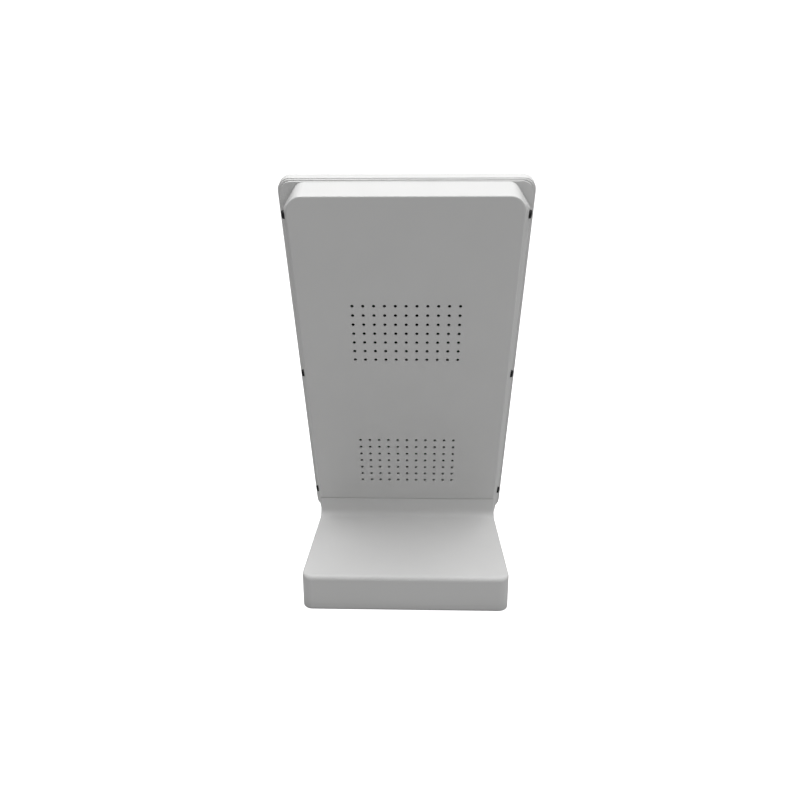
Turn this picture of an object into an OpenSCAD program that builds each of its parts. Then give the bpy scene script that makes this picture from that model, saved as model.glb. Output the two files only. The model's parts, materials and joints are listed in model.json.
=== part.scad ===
// Countertop payment terminal. A portrait touch screen head leans back on a flat, weighted
// foot. The foot's neck ends in a slanted face, and the back of the head is bolted to it.
// Millimetres, +Z up, the user's side is -Y. The counter is Z = 0, and the origin lies midway
// along the overall length and width. Inside the head, "rear" is local +Y and the local
// origin is the line where the back of the head meets the top edge of the neck.

/* [Head] */
// Width across the front bezel
head_w = 227; // [190:1:290]
// Length of the head along its front face, above the top edge of the neck
head_up = 361; // [290:1:440]
// Length of the head along its front face, below the top edge of the neck
head_down = 54; // [50:1:60]
// How far the head leans back, in degrees
lean = 23.5; // [15:0.5:30]
// Corner radius of the front bezel
head_r = 11.5; // [8:0.5:16]

/* [Rear cover] */
// Depth of the rear cover
cover_d = 35.5; // [32:0.5:48]
// Sheet thickness of the rear cover
cover_wall = 1.5; // [1:0.1:2.5]
// How far the cover's rim stands in from the bezel at the sides
cover_inset = 3; // [2.5:0.5:5]
// How far the cover's lower edge stands up from the bezel's lower edge
cover_lift = 8; // [6:1:12]
// How much each side wall draws in from the rim to the back
cover_draft = 10; // [6:1:14]
// Width of the slanted top corners, measured on the rim
corner_w = 21.5; // [14:0.5:26]
// Height of the slanted top corners, measured on the rim
corner_h = 27.3; // [20:0.5:34]
// Radius of the top corners on the back face
corner_back_r = 14; // [10:1:18]
// Thickness of the step around the rim
step_t = 2; // [1.5:0.5:3]

/* [Vents] */
// Distance between neighbouring vent holes
vent_pitch = 10; // [7:0.5:12]
// Diameter of a vent hole
vent_d = 3; // [2:0.1:4]
// Vent holes across one field
vent_cols = 11; // [5:2:13]
// Vent holes up one field
vent_rows = 7; // [3:1:9]
// Middle of the upper field above the neck
vent_upper = 226; // [200:1:260]
// Middle of the lower field above the neck
vent_lower = 60.2; // [50:1:80]

/* [Front] */
// Thickness of the mid frame's rim
rim_t = 2; // [1.5:0.5:3]
// Width of the shadow groove behind the bezel
groove_w = 2; // [1:0.5:3]
// Depth of the shadow groove
groove_in = 2.5; // [1.5:0.5:4]
// Thickness of the bezel
bezel_t = 10.5; // [9:0.5:14]
// Wall of the bezel around its inside
bezel_wall = 3; // [2:0.5:4]
// Visible border of the bezel around the cover glass
border = 8; // [7:0.5:10]
// Thickness of the cover glass
glass_t = 3; // [2:0.5:4]
// Thickness of the glass's bonding tape
tape_t = 0.8; // [0.4:0.1:1.2]
// Width of the bonding tape and of its ledge
ledge_w = 6; // [5:0.5:8]
// Thickness of the ledge
ledge_t = 2.2; // [1.6:0.1:3]

/* [Display panel] */
// Width of the display panel's picture
picture_w = 193.6; // [160:0.1:200]
// Height of the display panel's picture
picture_h = 344.2; // [280:0.1:350]
// Border of the panel around the picture
panel_edge = 3.8; // [3:0.1:5]
// Thickness of the display panel
panel_t = 5; // [3:0.5:6]
// Top edge of the picture below the top of the bezel
picture_top = 28; // [26:1:32]

/* [Foot] */
// Width of the foot
foot_w = 202; // [180:1:240]
// Length of the foot behind the neck's top edge
foot_back = 140.5; // [120:0.5:180]
// Length of the foot's toe in front of the neck's top edge
foot_front = 59.5; // [50:0.5:80]
// Height of the foot's top above the counter
foot_h = 38; // [35:1:44]
// Height of the toe's top above the counter
toe_h = 12; // [10:0.5:13]
// Height of the neck's top edge above the counter
neck_h = 59.5; // [57:0.5:66]
// Wall of the foot's shell
foot_wall = 2.5; // [2:0.1:3]
// Corner radius of the foot seen from above
foot_r = 10; // [8:0.5:20]
// Radius of the foot's upper rear edge
foot_edge_r = 4.5; // [3:0.5:7]
// Radius between the foot's top and the neck
neck_r = 8; // [5:0.5:10]
// Thickness of the steel floor plate
floor_t = 3; // [2:0.5:4]
// How far the rubber feet stand out below the foot
pad_out = 1.5; // [1:0.5:3]
// Diameter of the rubber feet
pad_d = 16; // [12:1:20]

/* [Counter mount] */
// Counter bolt holes, distance side to side
bolt_x = 130; // [100:1:150]
// Counter bolt holes, distance front to rear
bolt_y = 90; // [84:1:96]
// Diameter of the counter bolt holes
bolt_hole_d = 6.6; // [5:0.1:9]

/* [Power button] */
// Diameter of the power button
button_d = 9; // [7:0.5:12]
// Travel of the power button
button_travel = 1.2; // [0.6:0.1:2]
// How far the button stands out of the cover
button_out = 1.6; // [1.4:0.1:2.5]
// Distance of the button from the middle
button_x = 80; // [66:1:86]

/* [Fasteners] */
// Diameter of the cover screws
cover_screw_d = 4; // [3:0.5:5]
// Diameter of the dimple around each cover screw
dimple_d = 9.5; // [8:0.5:11]
// Distance between cover screws along the side
side_pitch = 172.5; // [120:0.5:190]
// Top cover screw below the cover's upper edge
side_top = 26; // [24:0.5:34]
// Diameter of the small screws on boards and panels
small_screw_d = 2.5; // [2:0.1:3]
// Diameter of the neck bolts
neck_bolt_d = 5; // [4:0.5:6]

/* [Hidden] */
$fn = 48;

white = [0.93, 0.93, 0.92];
black = [0.08, 0.08, 0.09];
zinc = [0.72, 0.73, 0.75];
steel = [0.6, 0.61, 0.63];
green = [0.1, 0.32, 0.2];
blue = [0.12, 0.22, 0.42];
dark_glass = [0.1, 0.11, 0.13, 0.6];

// Clearances and cutting allowances
gap = 0.3;
fit = 0.05;
over = 1;
skin = 0.2;

// Depths in the head, measured forward from its back face
y_rim = -cover_d;
y_groove = y_rim - rim_t;
y_bezel = y_groove - groove_w;
y_front = y_bezel - bezel_t;
y_glass = y_front + glass_t;
y_ledge = y_glass + tape_t;
y_panel = y_ledge + ledge_t + gap;
y_panel_back = y_panel + panel_t;
head_t = -y_front;

// Outlines of the head, seen from behind
half_w = head_w / 2;
rim_half = half_w - 1.2;
cover_half = half_w - cover_inset;
cover_top = head_up - 1;
cover_bottom = cover_lift - head_down;
back_half = cover_half - cover_draft;
rim_bottom = 1 - head_down;
step_r = 10;
bottom_r = 6;
draft_angle = atan(cover_draft / cover_d);
wall_x = cover_wall / cos(draft_angle);
glass_half = half_w - border;
glass_top = head_up - border;
glass_bottom = border - head_down;
glass_r = 6;
window_half = glass_half - ledge_w;
window_r = 2;
panel_half = picture_w / 2 + panel_edge;
panel_top = head_up - picture_top + panel_edge;
panel_bottom = panel_top - picture_h - 2 * panel_edge;
opening_half = panel_half + 0.8;
opening_top = panel_top + 0.8;
opening_bottom = panel_bottom - 0.8;

// Screws that hold the chassis plate and mid frame to the bezel
boss_d = 6.4;
boss_x = (opening_half + half_w - bezel_wall) / 2 - 1.3;
boss_rows = 5;
boss_low = cover_bottom + 22;
boss_high = cover_top - side_top - 20;
small_head_d = 4.6;
small_head_t = 1.6;

// Sheet parts behind the display
plate_t = 1.2;
y_chassis = y_rim + plate_t;
chassis_half = cover_half - 3.4;
tab_low = 10;
tab_high = 4;
chassis_top = cover_top - side_top - tab_low - 2;
chassis_bottom = cover_bottom + 5;
rail_w = 14;

// Cover screws on the slanted sides
screw_depth = 25;
tab_t = 3;
tab_in = 4.1;
tab_rear = 7;
tab_front = cover_d - screw_depth + 0.9;
cover_screw_l = 8;
cover_head_d = 2 * cover_screw_d;
dimple_deep = 0.5;
cone_h = 2;
screw_sunk = 0.6;
head_rise = 2.2;
head_straight = 0.8;
head_top_d = 5.2;
cross_l = 4.4;
cross_w = 0.9;
cross_deep = 1.3;
side_z = [for (i = [0:2]) cover_top - side_top - i * side_pitch];

// Camera
camera_half = 5;
camera_gap = 0.5;

// Boards
board_t = 1.6;
standoff_d = 5.5;
standoff_h = 6;
y_board = y_chassis + standoff_h;
y_board_rear = y_board + board_t;
main_w = 146;
main_h = 102;
main_z = vent_upper;
power_w = 120;
power_h = 66;
power_z = vent_lower;
hole_in = 4;
screw_head_t = 1.8;
chip_t = 1.6;
sink_w = 60;
sink_h = 56;
sink_base = 3;
sink_d = 14;
fins = 9;
fin_t = 1.6;

// Power button
button_y = -18;
button_hole_d = button_d + 0.6;
flange_t = 1.2;
flange_d = button_d + 3;
stem_h = 1;
cap_top = cover_bottom + cover_wall + gap / 2 + flange_t;
switch_gap = 0.2;
stem_d = 3.4;
switch_h = 5;
switch_w = 12;
switch_z = cap_top + stem_h + button_travel + switch_gap;
shelf_z = switch_z + switch_h + board_t;
shelf_w = 24;

// Foot, with Y and Z counted from the neck's top edge
z_top = foot_h - neck_h;
z_toe = toe_h - neck_h;
z_under = pad_out - neck_h;
z_floor = z_under + floor_t;
neck_face = 0.5;
neck_top = -0.6;
slant = tan(lean);
screw_x = foot_w / 2 - 34;
floor_screw_l = 4;
sunk = 1.2;

// Neck joint: bracket, bolts and the plate that they screw into
bracket_t = 3;
anchor_t = 3;
joint_low = -40;
joint_high = -30;
joint_x = [26, 66];
bracket_half = 82;
bracket_foot = 34;
anchor_half = 84;
anchor_wall_x = 44;
bolt_head_d = 8.5;
bolt_head_t = 2.6;
y_bracket = gap + foot_wall + 0.1;
y_bracket_rear = y_bracket + bracket_t;
grommet_z = -35;
grommet_d = 13;
grommet_flange = 1.5;
grommet_flange_d = 17;
cable_d = 6;
cable_y = y_board_rear + 4;
cable_bend = 14;
header_front = 16;
socket_low = main_z - main_h / 2 + 1.5;

// Cable bay under the foot
bay_w = 76;
bay_front = 48;
bay_rear = 112;
bay_wall = 1.5;
bay_top = z_top - foot_wall - 3;
jack_z = z_floor + 5.6;
jack_front = 20;
jack_deep = 14;
network_at = -22;
usb_at = 2;
inlet_at = 24;
network_size = [16, 13.5];
usb_size = [14.4, 7];
inlet_size = [10, 11];

// Counter bolts and steel ballast, on both sides of the cable bay
bolt_mid = (bay_front + bay_rear) / 2 - 8;
ballast_in = bay_w / 2 + 6;
ballast_out = foot_w / 2 - foot_wall - 5;
ballast_front = bolt_mid - bolt_y / 2 + 9;
ballast_rear = bolt_mid + bolt_y / 2 - 9;
ballast_t = 22;

// Rubber feet
pad_x = foot_w / 2 - 14;
pad_rear = foot_back - 15;
pad_front = 15 - foot_front;
pad_up = 1;

// Where the head stands: the overall length is centred on the origin
front_reach = head_down * sin(lean) + head_t * cos(lean);
rear_reach = max(foot_back, cover_top * sin(lean));
neck_y = (front_reach - rear_reach) / 2;

module at_neck() translate([0, neck_y, neck_h]) children();
module at_head() at_neck() rotate([-lean, 0, 0]) children();

// A flat solid that lies across the head, from depth a forward to depth b
module slab(a, b) translate([0, a, 0]) rotate([90, 0, 0]) linear_extrude(a - b) children();

// A rounded rectangle from z0 to z1 with the given half width
module round_box(half, z0, z1, r) {
    translate([-half + r, z0]) square([2 * (half - r), z1 - z0]);
    translate([-half, z0 + r]) square([2 * half, z1 - z0 - 2 * r]);
    for (x = [-half + r, half - r], z = [z0 + r, z1 - r]) translate([x, z]) circle(r);
}

module both_sides() {
    children();
    mirror([1, 0, 0]) children();
}

// A rod along local Y from depth a forward to depth b
module rod(x, z, d, a, b) translate([x, a, z]) rotate([90, 0, 0]) cylinder(h = a - b, d = d);

module box(x, y, z) translate([x[0], y[0], z[0]]) cube([x[1] - x[0], y[1] - y[0], z[1] - z[0]]);

// The four hole positions of a board
module board_holes(w, h, z) {
    for (x = [-1, 1], s = [-1, 1]) translate([x * (w / 2 - hole_in), 0, z + s * (h / 2 - hole_in)]) children();
}

// The pan shape of the rear cover, drawn in by a wall thickness
module cover_form(inset, reach) {
    side = inset / cos(draft_angle);
    hull() {
        both_sides() {
            disc(back_half - corner_back_r, cover_top - corner_back_r, corner_back_r - side, -inset, skin);
            disc(back_half - bottom_r, cover_bottom + bottom_r, bottom_r - side, -inset, skin);
            disc(cover_half - corner_w, cover_top - step_r, step_r - side, y_rim + skin, skin + reach);
            disc(cover_half - step_r, cover_top - corner_h, step_r - side, y_rim + skin, skin + reach);
            disc(cover_half - bottom_r, cover_bottom + bottom_r, bottom_r - side, y_rim + skin, skin + reach);
        }
    }
}

module disc(x, z, r, y, t) translate([x, y, z]) rotate([90, 0, 0]) cylinder(h = t, r = r, $fn = 64);

// Puts its children at a cover screw on the right side, local +X out of the wall
module at_side_screw(z) {
    translate([back_half + cover_draft * screw_depth / cover_d, -screw_depth, z]) rotate([0, 0, draft_angle])
        children();
}

module rear_cover() color(white) at_head() difference() {
    union() {
        difference() {
            union() {
                cover_form(0, 0);
                slab(y_rim + step_t, y_rim) round_box(cover_half, cover_bottom, cover_top, step_r);
            }
            cover_form(cover_wall, over);
        }
        intersection() {
            cover_form(0, 0);
            both_sides() for (z = side_z) at_side_screw(z) rotate([0, -90, 0])
                cylinder(h = cover_wall + 1.2, d = dimple_d + 2);
        }
    }
    for (z = [vent_lower, vent_upper], i = [0:vent_cols - 1], j = [0:vent_rows - 1])
        rod((i - (vent_cols - 1) / 2) * vent_pitch, z + (j - (vent_rows - 1) / 2) * vent_pitch, vent_d,
            over, -cover_wall - over);
    both_sides() for (z = side_z) at_side_screw(z) cover_screw_seat();
    joint_holes(neck_bolt_d + 2 * fit, over, -cover_wall - over);
    rod(0, grommet_z, grommet_d + 2 * fit, over, -cover_wall - over);
    translate([button_x, button_y, cover_bottom - over]) cylinder(h = cover_wall + 2 * over, d = button_hole_d);
}

// Countersunk seat: a dimple, a cone for the head and a clearance hole
module cover_screw_seat() {
    rotate([0, -90, 0]) {
        translate([0, 0, -over]) cylinder(h = over + dimple_deep, d = dimple_d);
        translate([0, 0, dimple_deep]) cylinder(h = cone_h, d1 = cover_head_d, d2 = cover_screw_d);
        cylinder(h = cover_screw_l, d = cover_screw_d + 0.4);
    }
}

module cover_screws() color(black) at_head() both_sides() for (z = side_z) at_side_screw(z) rotate([0, -90, 0])
    difference() {
        union() {
            translate([0, 0, screw_sunk])
                cylinder(h = cone_h - 2 * fit, d1 = cover_head_d - 8 * fit, d2 = cover_screw_d - 2 * fit);
            translate([0, 0, screw_sunk]) cylinder(h = cover_screw_l, d = cover_screw_d - 2 * fit);
            translate([0, 0, -head_straight])
                cylinder(h = head_straight + screw_sunk, d = cover_head_d - 8 * fit);
            translate([0, 0, -head_rise])
                cylinder(h = head_rise - head_straight, d1 = head_top_d, d2 = cover_head_d - 8 * fit);
        }
        for (a = [0, 90]) rotate([0, 0, a]) translate([-cross_l / 2, -cross_w / 2, -head_rise - over])
            cube([cross_l, cross_w, cross_deep + over]);
    }

// Threaded tab for a cover screw, just inside the cover's slanted wall
module screw_tab() rotate([0, -90, 0]) translate([0, 0, tab_in]) difference() {
    translate([-tab_low, -tab_front, 0]) cube([tab_low + tab_high, tab_front + tab_rear, tab_t]);
    translate([0, 0, -over]) cylinder(h = tab_t + 2 * over, d = cover_screw_d);
}

module mid_frame() color(white) at_head() difference() {
    union() {
        slab(y_rim, y_groove) round_box(rim_half, rim_bottom, head_up, head_r - 0.5);
        slab(y_groove, y_bezel)
            round_box(rim_half - groove_in, rim_bottom + groove_in, head_up - groove_in, head_r - groove_in);
        both_sides() for (z = side_z) at_side_screw(z) screw_tab();
    }
    slab(y_rim + over, y_bezel - over) translate([-opening_half, opening_bottom])
        square([2 * opening_half, opening_top - opening_bottom]);
    bezel_screw_spots() rod(0, 0, small_screw_d + 2 * fit, y_rim + over, y_bezel - over);
}

module bezel_screw_spots() both_sides() for (i = [0:boss_rows - 1])
    translate([boss_x, 0, boss_low + i * (boss_high - boss_low) / (boss_rows - 1)]) children();

module front_bezel() color(white) at_head() difference() {
    union() {
        difference() {
            slab(y_bezel, y_front) round_box(half_w, -head_down, head_up, head_r);
            slab(y_bezel + over, y_ledge + ledge_t)
                round_box(half_w - bezel_wall, bezel_wall - head_down, head_up - bezel_wall, head_r - bezel_wall);
        }
        bezel_screw_spots() rod(0, 0, boss_d, y_bezel, y_ledge + skin);
    }
    slab(y_ledge, y_front - over)
        round_box(glass_half + gap, glass_bottom - gap, glass_top + gap, glass_r + gap);
    slab(y_bezel, y_front) round_box(window_half, glass_bottom + ledge_w, glass_top - ledge_w, window_r);
    bezel_screw_spots() rod(0, 0, small_screw_d + 2 * fit, y_bezel + over, y_bezel - 4);
}

module cover_glass() color(dark_glass) at_head()
    slab(y_glass, y_front) round_box(glass_half, glass_bottom, glass_top, glass_r);

module glass_tape() color(black) at_head() difference() {
    slab(y_ledge, y_glass) round_box(glass_half, glass_bottom, glass_top, glass_r);
    slab(y_ledge + over, y_glass - over)
        round_box(window_half, glass_bottom + ledge_w, glass_top - ledge_w, window_r);
}

module display_panel() color(steel) at_head()
    box([-panel_half, panel_half], [y_panel, y_panel_back], [panel_bottom, panel_top]);

// Two channels that press the panel forward from the chassis plate
module panel_rails() color(zinc) at_head() both_sides() difference() {
    box([panel_half - rail_w - 3, panel_half - 3], [y_panel_back, y_rim], [panel_bottom + 12, chassis_top - 8]);
    box([panel_half - rail_w - 3 + plate_t, panel_half - 3 - plate_t], [y_panel_back - over, y_rim - plate_t],
        [panel_bottom, head_up]);
}

module panel_ribbon() color(white) at_head() {
    ribbon_x = [-50, -26];
    low = main_z - main_h / 2 - 14;
    box(ribbon_x, [y_chassis + gap, y_board - gap], [low, low + 0.5]);
    box(ribbon_x, [y_board - 0.5 - gap, y_board - gap], [low + 0.5, main_z - main_h / 2 + 6]);
    box(ribbon_x, [y_panel_back, y_chassis + gap], [low, low + 0.5]);
}

module chassis_plate() color(zinc) at_head() difference() {
    slab(y_chassis, y_rim) round_box(chassis_half, chassis_bottom, chassis_top, 4);
    bezel_screw_spots() rod(0, 0, small_screw_d + 2 * fit, y_chassis + over, y_rim - over);
    both_sides() for (i = [1, 2]) at_side_screw(side_z[i])
        translate([-tab_in - tab_t - over, -tab_front - over, -tab_low - over])
            cube([half_w, tab_front + tab_rear, tab_low + tab_high + 2 * over]);
    box([-51, -25], [y_rim - over, y_chassis + over],
        [main_z - main_h / 2 - 15, main_z - main_h / 2 - 12]);
}

module bezel_screws() color(zinc) at_head() bezel_screw_spots() {
    rod(0, 0, small_head_d, y_chassis + small_head_t, y_chassis);
    rod(0, 0, small_screw_d, y_chassis, y_bezel - 3.5);
}

module standoffs(w, h, z) color(zinc) at_head() board_holes(w, h, z) difference() {
    rod(0, 0, standoff_d, y_board, y_chassis);
    rod(0, 0, small_screw_d, y_board + over, y_chassis + over);
}

module board(w, h, z) color(green) at_head() difference() {
    box([-w / 2, w / 2], [y_board, y_board_rear], [z - h / 2, z + h / 2]);
    board_holes(w, h, z) rod(0, 0, small_screw_d + 0.4, y_board_rear + over, y_board - over);
}

module board_screws(w, h, z) color(zinc) at_head() board_holes(w, h, z) {
    rod(0, 0, small_head_d, y_board_rear + screw_head_t, y_board_rear);
    rod(0, 0, small_screw_d - 2 * fit, y_board_rear, y_chassis + 2);
}

module main_board() board(main_w, main_h, main_z);
module main_board_standoffs() standoffs(main_w, main_h, main_z);
module main_board_screws() board_screws(main_w, main_h, main_z);
module power_board() board(power_w, power_h, power_z);
module power_board_standoffs() standoffs(power_w, power_h, power_z);
module power_board_screws() board_screws(power_w, power_h, power_z);

// A part that stands on a board's rear face, at x, z from the board's middle
module on_board(z, at, size, tall) at_head()
    box([at[0] - size[0] / 2, at[0] + size[0] / 2], [y_board_rear, y_board_rear + tall],
        [z + at[1] - size[1] / 2, z + at[1] + size[1] / 2]);

module main_board_chips() color(black) {
    on_board(main_z, [0, 6], [22, 22], chip_t);
    for (x = [-18, 18]) on_board(main_z, [x, 6], [9, 13], chip_t);
    on_board(main_z, [44, 6], [12, 14], chip_t);
    on_board(main_z, [-46, 10], [10, 10], chip_t);
}

module main_board_sockets() color(white) {
    on_board(main_z, [0, 6 - main_h / 2], [16, 9], 6);
    on_board(main_z, [-38, 5 - main_h / 2], [26, 6], 4);
    on_board(main_z, [50, 6 - main_h / 2], [18, 8], 6);
    for (z = [-18, 0, 18]) on_board(main_z, [6 - main_w / 2, z], [8, 12], 5);
    on_board(main_z, [main_w / 2 - 8, 20], [12, 14], 6);
}

module heat_sink() color(black) at_head() {
    low = y_board_rear + chip_t;
    box([-sink_w / 2, sink_w / 2], [low, low + sink_base], [main_z + 6 - sink_h / 2, main_z + 6 + sink_h / 2]);
    for (i = [0:fins - 1]) translate([-sink_w / 2 + i * (sink_w - fin_t) / (fins - 1), 0, 0])
        box([0, fin_t], [low + sink_base, low + sink_d], [main_z + 6 - sink_h / 2, main_z + 6 + sink_h / 2]);
}

module power_board_parts() {
    color(black) for (x = [-40, 40]) on_board(power_z, [x, 8], [14, 14], 6);
    color(blue) at_head() for (x = [-52, -30, 22, 52]) rod(x, power_z - 14, 8, y_board_rear + 10, y_board_rear);
    color(white) on_board(power_z, [40, power_h / 2 - 8], [20, 8], 6);
}

module speaker() color(black) at_head() difference() {
    box([52, 86], [y_chassis, y_chassis + 14], [102, 166]);
    rod(69, 118, 26, y_chassis + 14 + over, y_chassis + 12);
    rod(69, 148, 26, y_chassis + 14 + over, y_chassis + 12);
}

module speaker_left() mirror([1, 0, 0]) speaker();
module speaker_right() speaker();

module touch_board() color(green) at_head() {
    box([-90, -56], [y_chassis + 1.5, y_chassis + 1.5 + board_t], [2, 18]);
    for (x = [-86, -60]) rod(x, 10, 4, y_chassis + 1.5, y_chassis);
}

// Camera behind the glass, above the picture
module camera_module() color(black) at_head() {
    z = (glass_top - ledge_w + head_up - picture_top) / 2;
    front = y_ledge + ledge_t + camera_gap;
    box([-camera_half, camera_half], [front, y_bezel], [z - 1.5, z + 9]);
    rod(0, z + 1, camera_half, front + skin, y_glass + gap);
}

// Code scanner and contactless reader behind the glass, below the picture
module code_scanner() color(black) at_head() {
    box([52, 80], [y_bezel - 4.6, y_bezel], [panel_bottom - 20, panel_bottom - 2]);
    for (x = [59, 73]) rod(x, panel_bottom - 11, 7, y_bezel - 4.5, y_bezel - 6);
}

module card_reader() color(blue) at_head() {
    box([-34, 34], [y_bezel - 5.5, y_bezel - 3.5], [panel_bottom - 20, panel_bottom - 1.5]);
    for (x = [-30, 30], z = [-17.5, -4]) rod(x, panel_bottom + z, 4, y_bezel, y_bezel - 3.5);
}

module power_button() color(zinc) at_head() translate([button_x, button_y, 0]) {
    translate([0, 0, cover_bottom - button_out]) cylinder(h = cap_top - cover_bottom + button_out, d = button_d);
    translate([0, 0, cap_top - flange_t]) cylinder(h = flange_t, d = flange_d);
    translate([0, 0, cap_top]) cylinder(h = stem_h, d = stem_d);
}

module button_bracket() color(zinc) at_head() {
    shelf = [button_x - shelf_w / 2, button_x + shelf_w / 2];
    box(shelf, [y_chassis, button_y + switch_w / 2], [shelf_z, shelf_z + plate_t]);
    box(shelf, [y_chassis, y_chassis + plate_t], [shelf_z + plate_t, shelf_z + 12]);
}

module button_switch() {
    color(green) at_head() box([button_x - 9, button_x + 9],
        [button_y - switch_w / 2 - 2, button_y + switch_w / 2 - 1], [shelf_z - board_t, shelf_z]);
    color(black) at_head() box([button_x - 6, button_x + 6],
        [button_y - 6, button_y + 5], [switch_z, shelf_z - board_t]);
}

// Places its children at each neck bolt
module joint_spots() both_sides() for (x = joint_x, z = [joint_low, joint_high]) translate([x, 0, z]) children();
module joint_holes(d, a, b) joint_spots() rod(0, 0, d, a, b);

// Plate inside the rear cover that the neck bolts screw into, with two walls to the chassis
module head_anchor() color(zinc) at_head() difference() {
    union() {
        box([-anchor_half, anchor_half], [-cover_wall - anchor_t, -cover_wall], [joint_low - 4, joint_high + 6.5]);
        both_sides() box([anchor_wall_x, anchor_wall_x + anchor_t], [y_chassis, -cover_wall],
            [joint_low + 7, joint_high + 6.5]);
    }
    joint_holes(neck_bolt_d, over, -cover_wall - anchor_t - over);
    rod(0, grommet_z, grommet_d + 2 * fit, over, -cover_wall - anchor_t - over);
}

module neck_bolts() color(steel) at_head() joint_spots() {
    rod(0, 0, bolt_head_d, y_bracket_rear + bolt_head_t, y_bracket_rear);
    rod(0, 0, neck_bolt_d - 2 * fit, y_bracket_rear, -cover_wall - anchor_t);
}

// Depth of a plane parallel to the head's back, at height z and the given distance behind it
function face_y(z, off) = z * slant + off / cos(lean);

// Side view of the foot's outside, drawn in by a wall thickness
module foot_profile(inset) {
    off = gap + inset;
    face = neck_face - inset;
    peak = inset == 0 ? neck_top : (face - off / cos(lean)) / slant - 0.5;
    low = inset == 0 ? z_under : z_under - over;
    top = z_top - inset;
    toe = z_toe - inset;
    bend = neck_r + inset;
    rear = foot_back - inset;
    front = inset - foot_front;
    difference() {
        union() {
            polygon([[rear, low], [rear, top], [face, top], [face, peak], [face_y(peak, off), peak],
                     [face_y(toe, off), toe], [front, toe], [front, low]]);
            translate([face, top]) square(bend);
        }
        translate([face + bend, top + bend]) circle(bend);
        translate([rear - foot_edge_r, top - foot_edge_r]) difference() {
            square(foot_edge_r + over);
            circle(foot_edge_r);
        }
    }
}

// The foot's outline from above, drawn in by a wall thickness
module foot_plan(inset) translate([0, (foot_back - foot_front) / 2]) {
    half = (foot_back + foot_front) / 2;
    round_box(foot_w / 2 - inset, inset - half, half - inset, foot_r - inset);
}

module foot_solid(inset) intersection() {
    translate([-foot_w / 2 + inset, 0, 0]) rotate([90, 0, 90]) linear_extrude(foot_w - 2 * inset)
        foot_profile(inset);
    translate([0, 0, -neck_h]) linear_extrude(neck_h + over) foot_plan(inset);
}

module foot_shell() color(white) difference() {
    union() {
        difference() {
            at_neck() foot_solid(0);
            at_neck() foot_solid(foot_wall);
        }
        at_neck() intersection() {
            foot_solid(0);
            floor_screw_spots() cylinder(h = neck_h, d = boss_d + 1);
        }
    }
    at_neck() floor_screw_spots() translate([0, 0, -over])
        cylinder(h = floor_screw_l + gap + over, d = small_screw_d + 2 * fit);
    at_neck() translate([0, 0, z_under - over]) linear_extrude(floor_t + over) foot_plan(foot_wall - skin);
    at_head() joint_holes(neck_bolt_d + 2 * fit, y_bracket + over, -over);
    at_head() rod(0, grommet_z, grommet_d + 2 * fit, y_bracket + over, -over);
}

// Screws through the floor plate: into the shell's bosses, the bracket, the ballast and the bay
module floor_screw_spots() both_sides() for (y = [18 - foot_front, foot_back - 9])
    translate([screw_x, y, z_floor]) children();
module bracket_screw_spots() both_sides() for (y = [7, bracket_foot - 7])
    translate([bracket_half - 14, face_y(z_floor, y_bracket_rear) + y, z_floor]) children();
module ballast_spots() both_sides() for (y = [ballast_front + 10, ballast_rear - 10])
    translate([(ballast_in + ballast_out) / 2, y, z_floor]) children();
module pad_spots() both_sides() for (y = [pad_front, pad_rear]) translate([pad_x, y, -neck_h]) children();

// A sunk screw that comes up through the floor plate, and the hole that it needs there
module floor_screw(l) translate([0, 0, -floor_t]) {
    translate([0, 0, sunk - small_head_t]) cylinder(h = small_head_t, d = small_head_d);
    cylinder(h = floor_t + l, d = small_screw_d - 2 * fit);
}
module floor_hole() translate([0, 0, -floor_t - over]) {
    cylinder(h = over + sunk, d = small_head_d + 0.4);
    cylinder(h = floor_t + 2 * over, d = small_screw_d + 0.4);
}

module floor_plate() color(zinc) at_neck() difference() {
    translate([0, 0, z_under]) linear_extrude(floor_t) foot_plan(foot_wall);
    both_sides() for (s = [-1, 1]) translate([bolt_x / 2, bolt_mid + s * bolt_y / 2, z_under - over])
        cylinder(h = floor_t + 2 * over, d = bolt_hole_d);
    pad_spots() cylinder(h = pad_out + pad_up, d = pad_d + 2 * fit);
    box([bay_wall - bay_w / 2, bay_w / 2 - bay_wall], [bay_front + bay_wall, bay_rear - bay_wall],
        [z_under - over, z_floor + over]);
    floor_screw_spots() floor_hole();
    bracket_screw_spots() floor_hole();
    ballast_spots() floor_hole();
}

module floor_screws() color(zinc) at_neck() floor_screw_spots() floor_screw(floor_screw_l);
module bracket_screws() color(zinc) at_neck() bracket_screw_spots() floor_screw(bracket_t - gap);
module ballast_screws() color(zinc) at_neck() ballast_spots() floor_screw(ballast_t / 2);
module rubber_feet() color(black) at_neck() pad_spots() cylinder(h = pad_out + pad_up, d = pad_d);

// Two steel blocks that keep the terminal from tipping
module ballast_block() color(steel) at_neck() difference() {
    both_sides() box([ballast_in, ballast_out], [ballast_front, ballast_rear], [z_floor, z_floor + ballast_t]);
    ballast_spots() translate([0, 0, -over]) cylinder(h = ballast_t / 2 + over + gap, d = small_screw_d);
}

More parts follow.
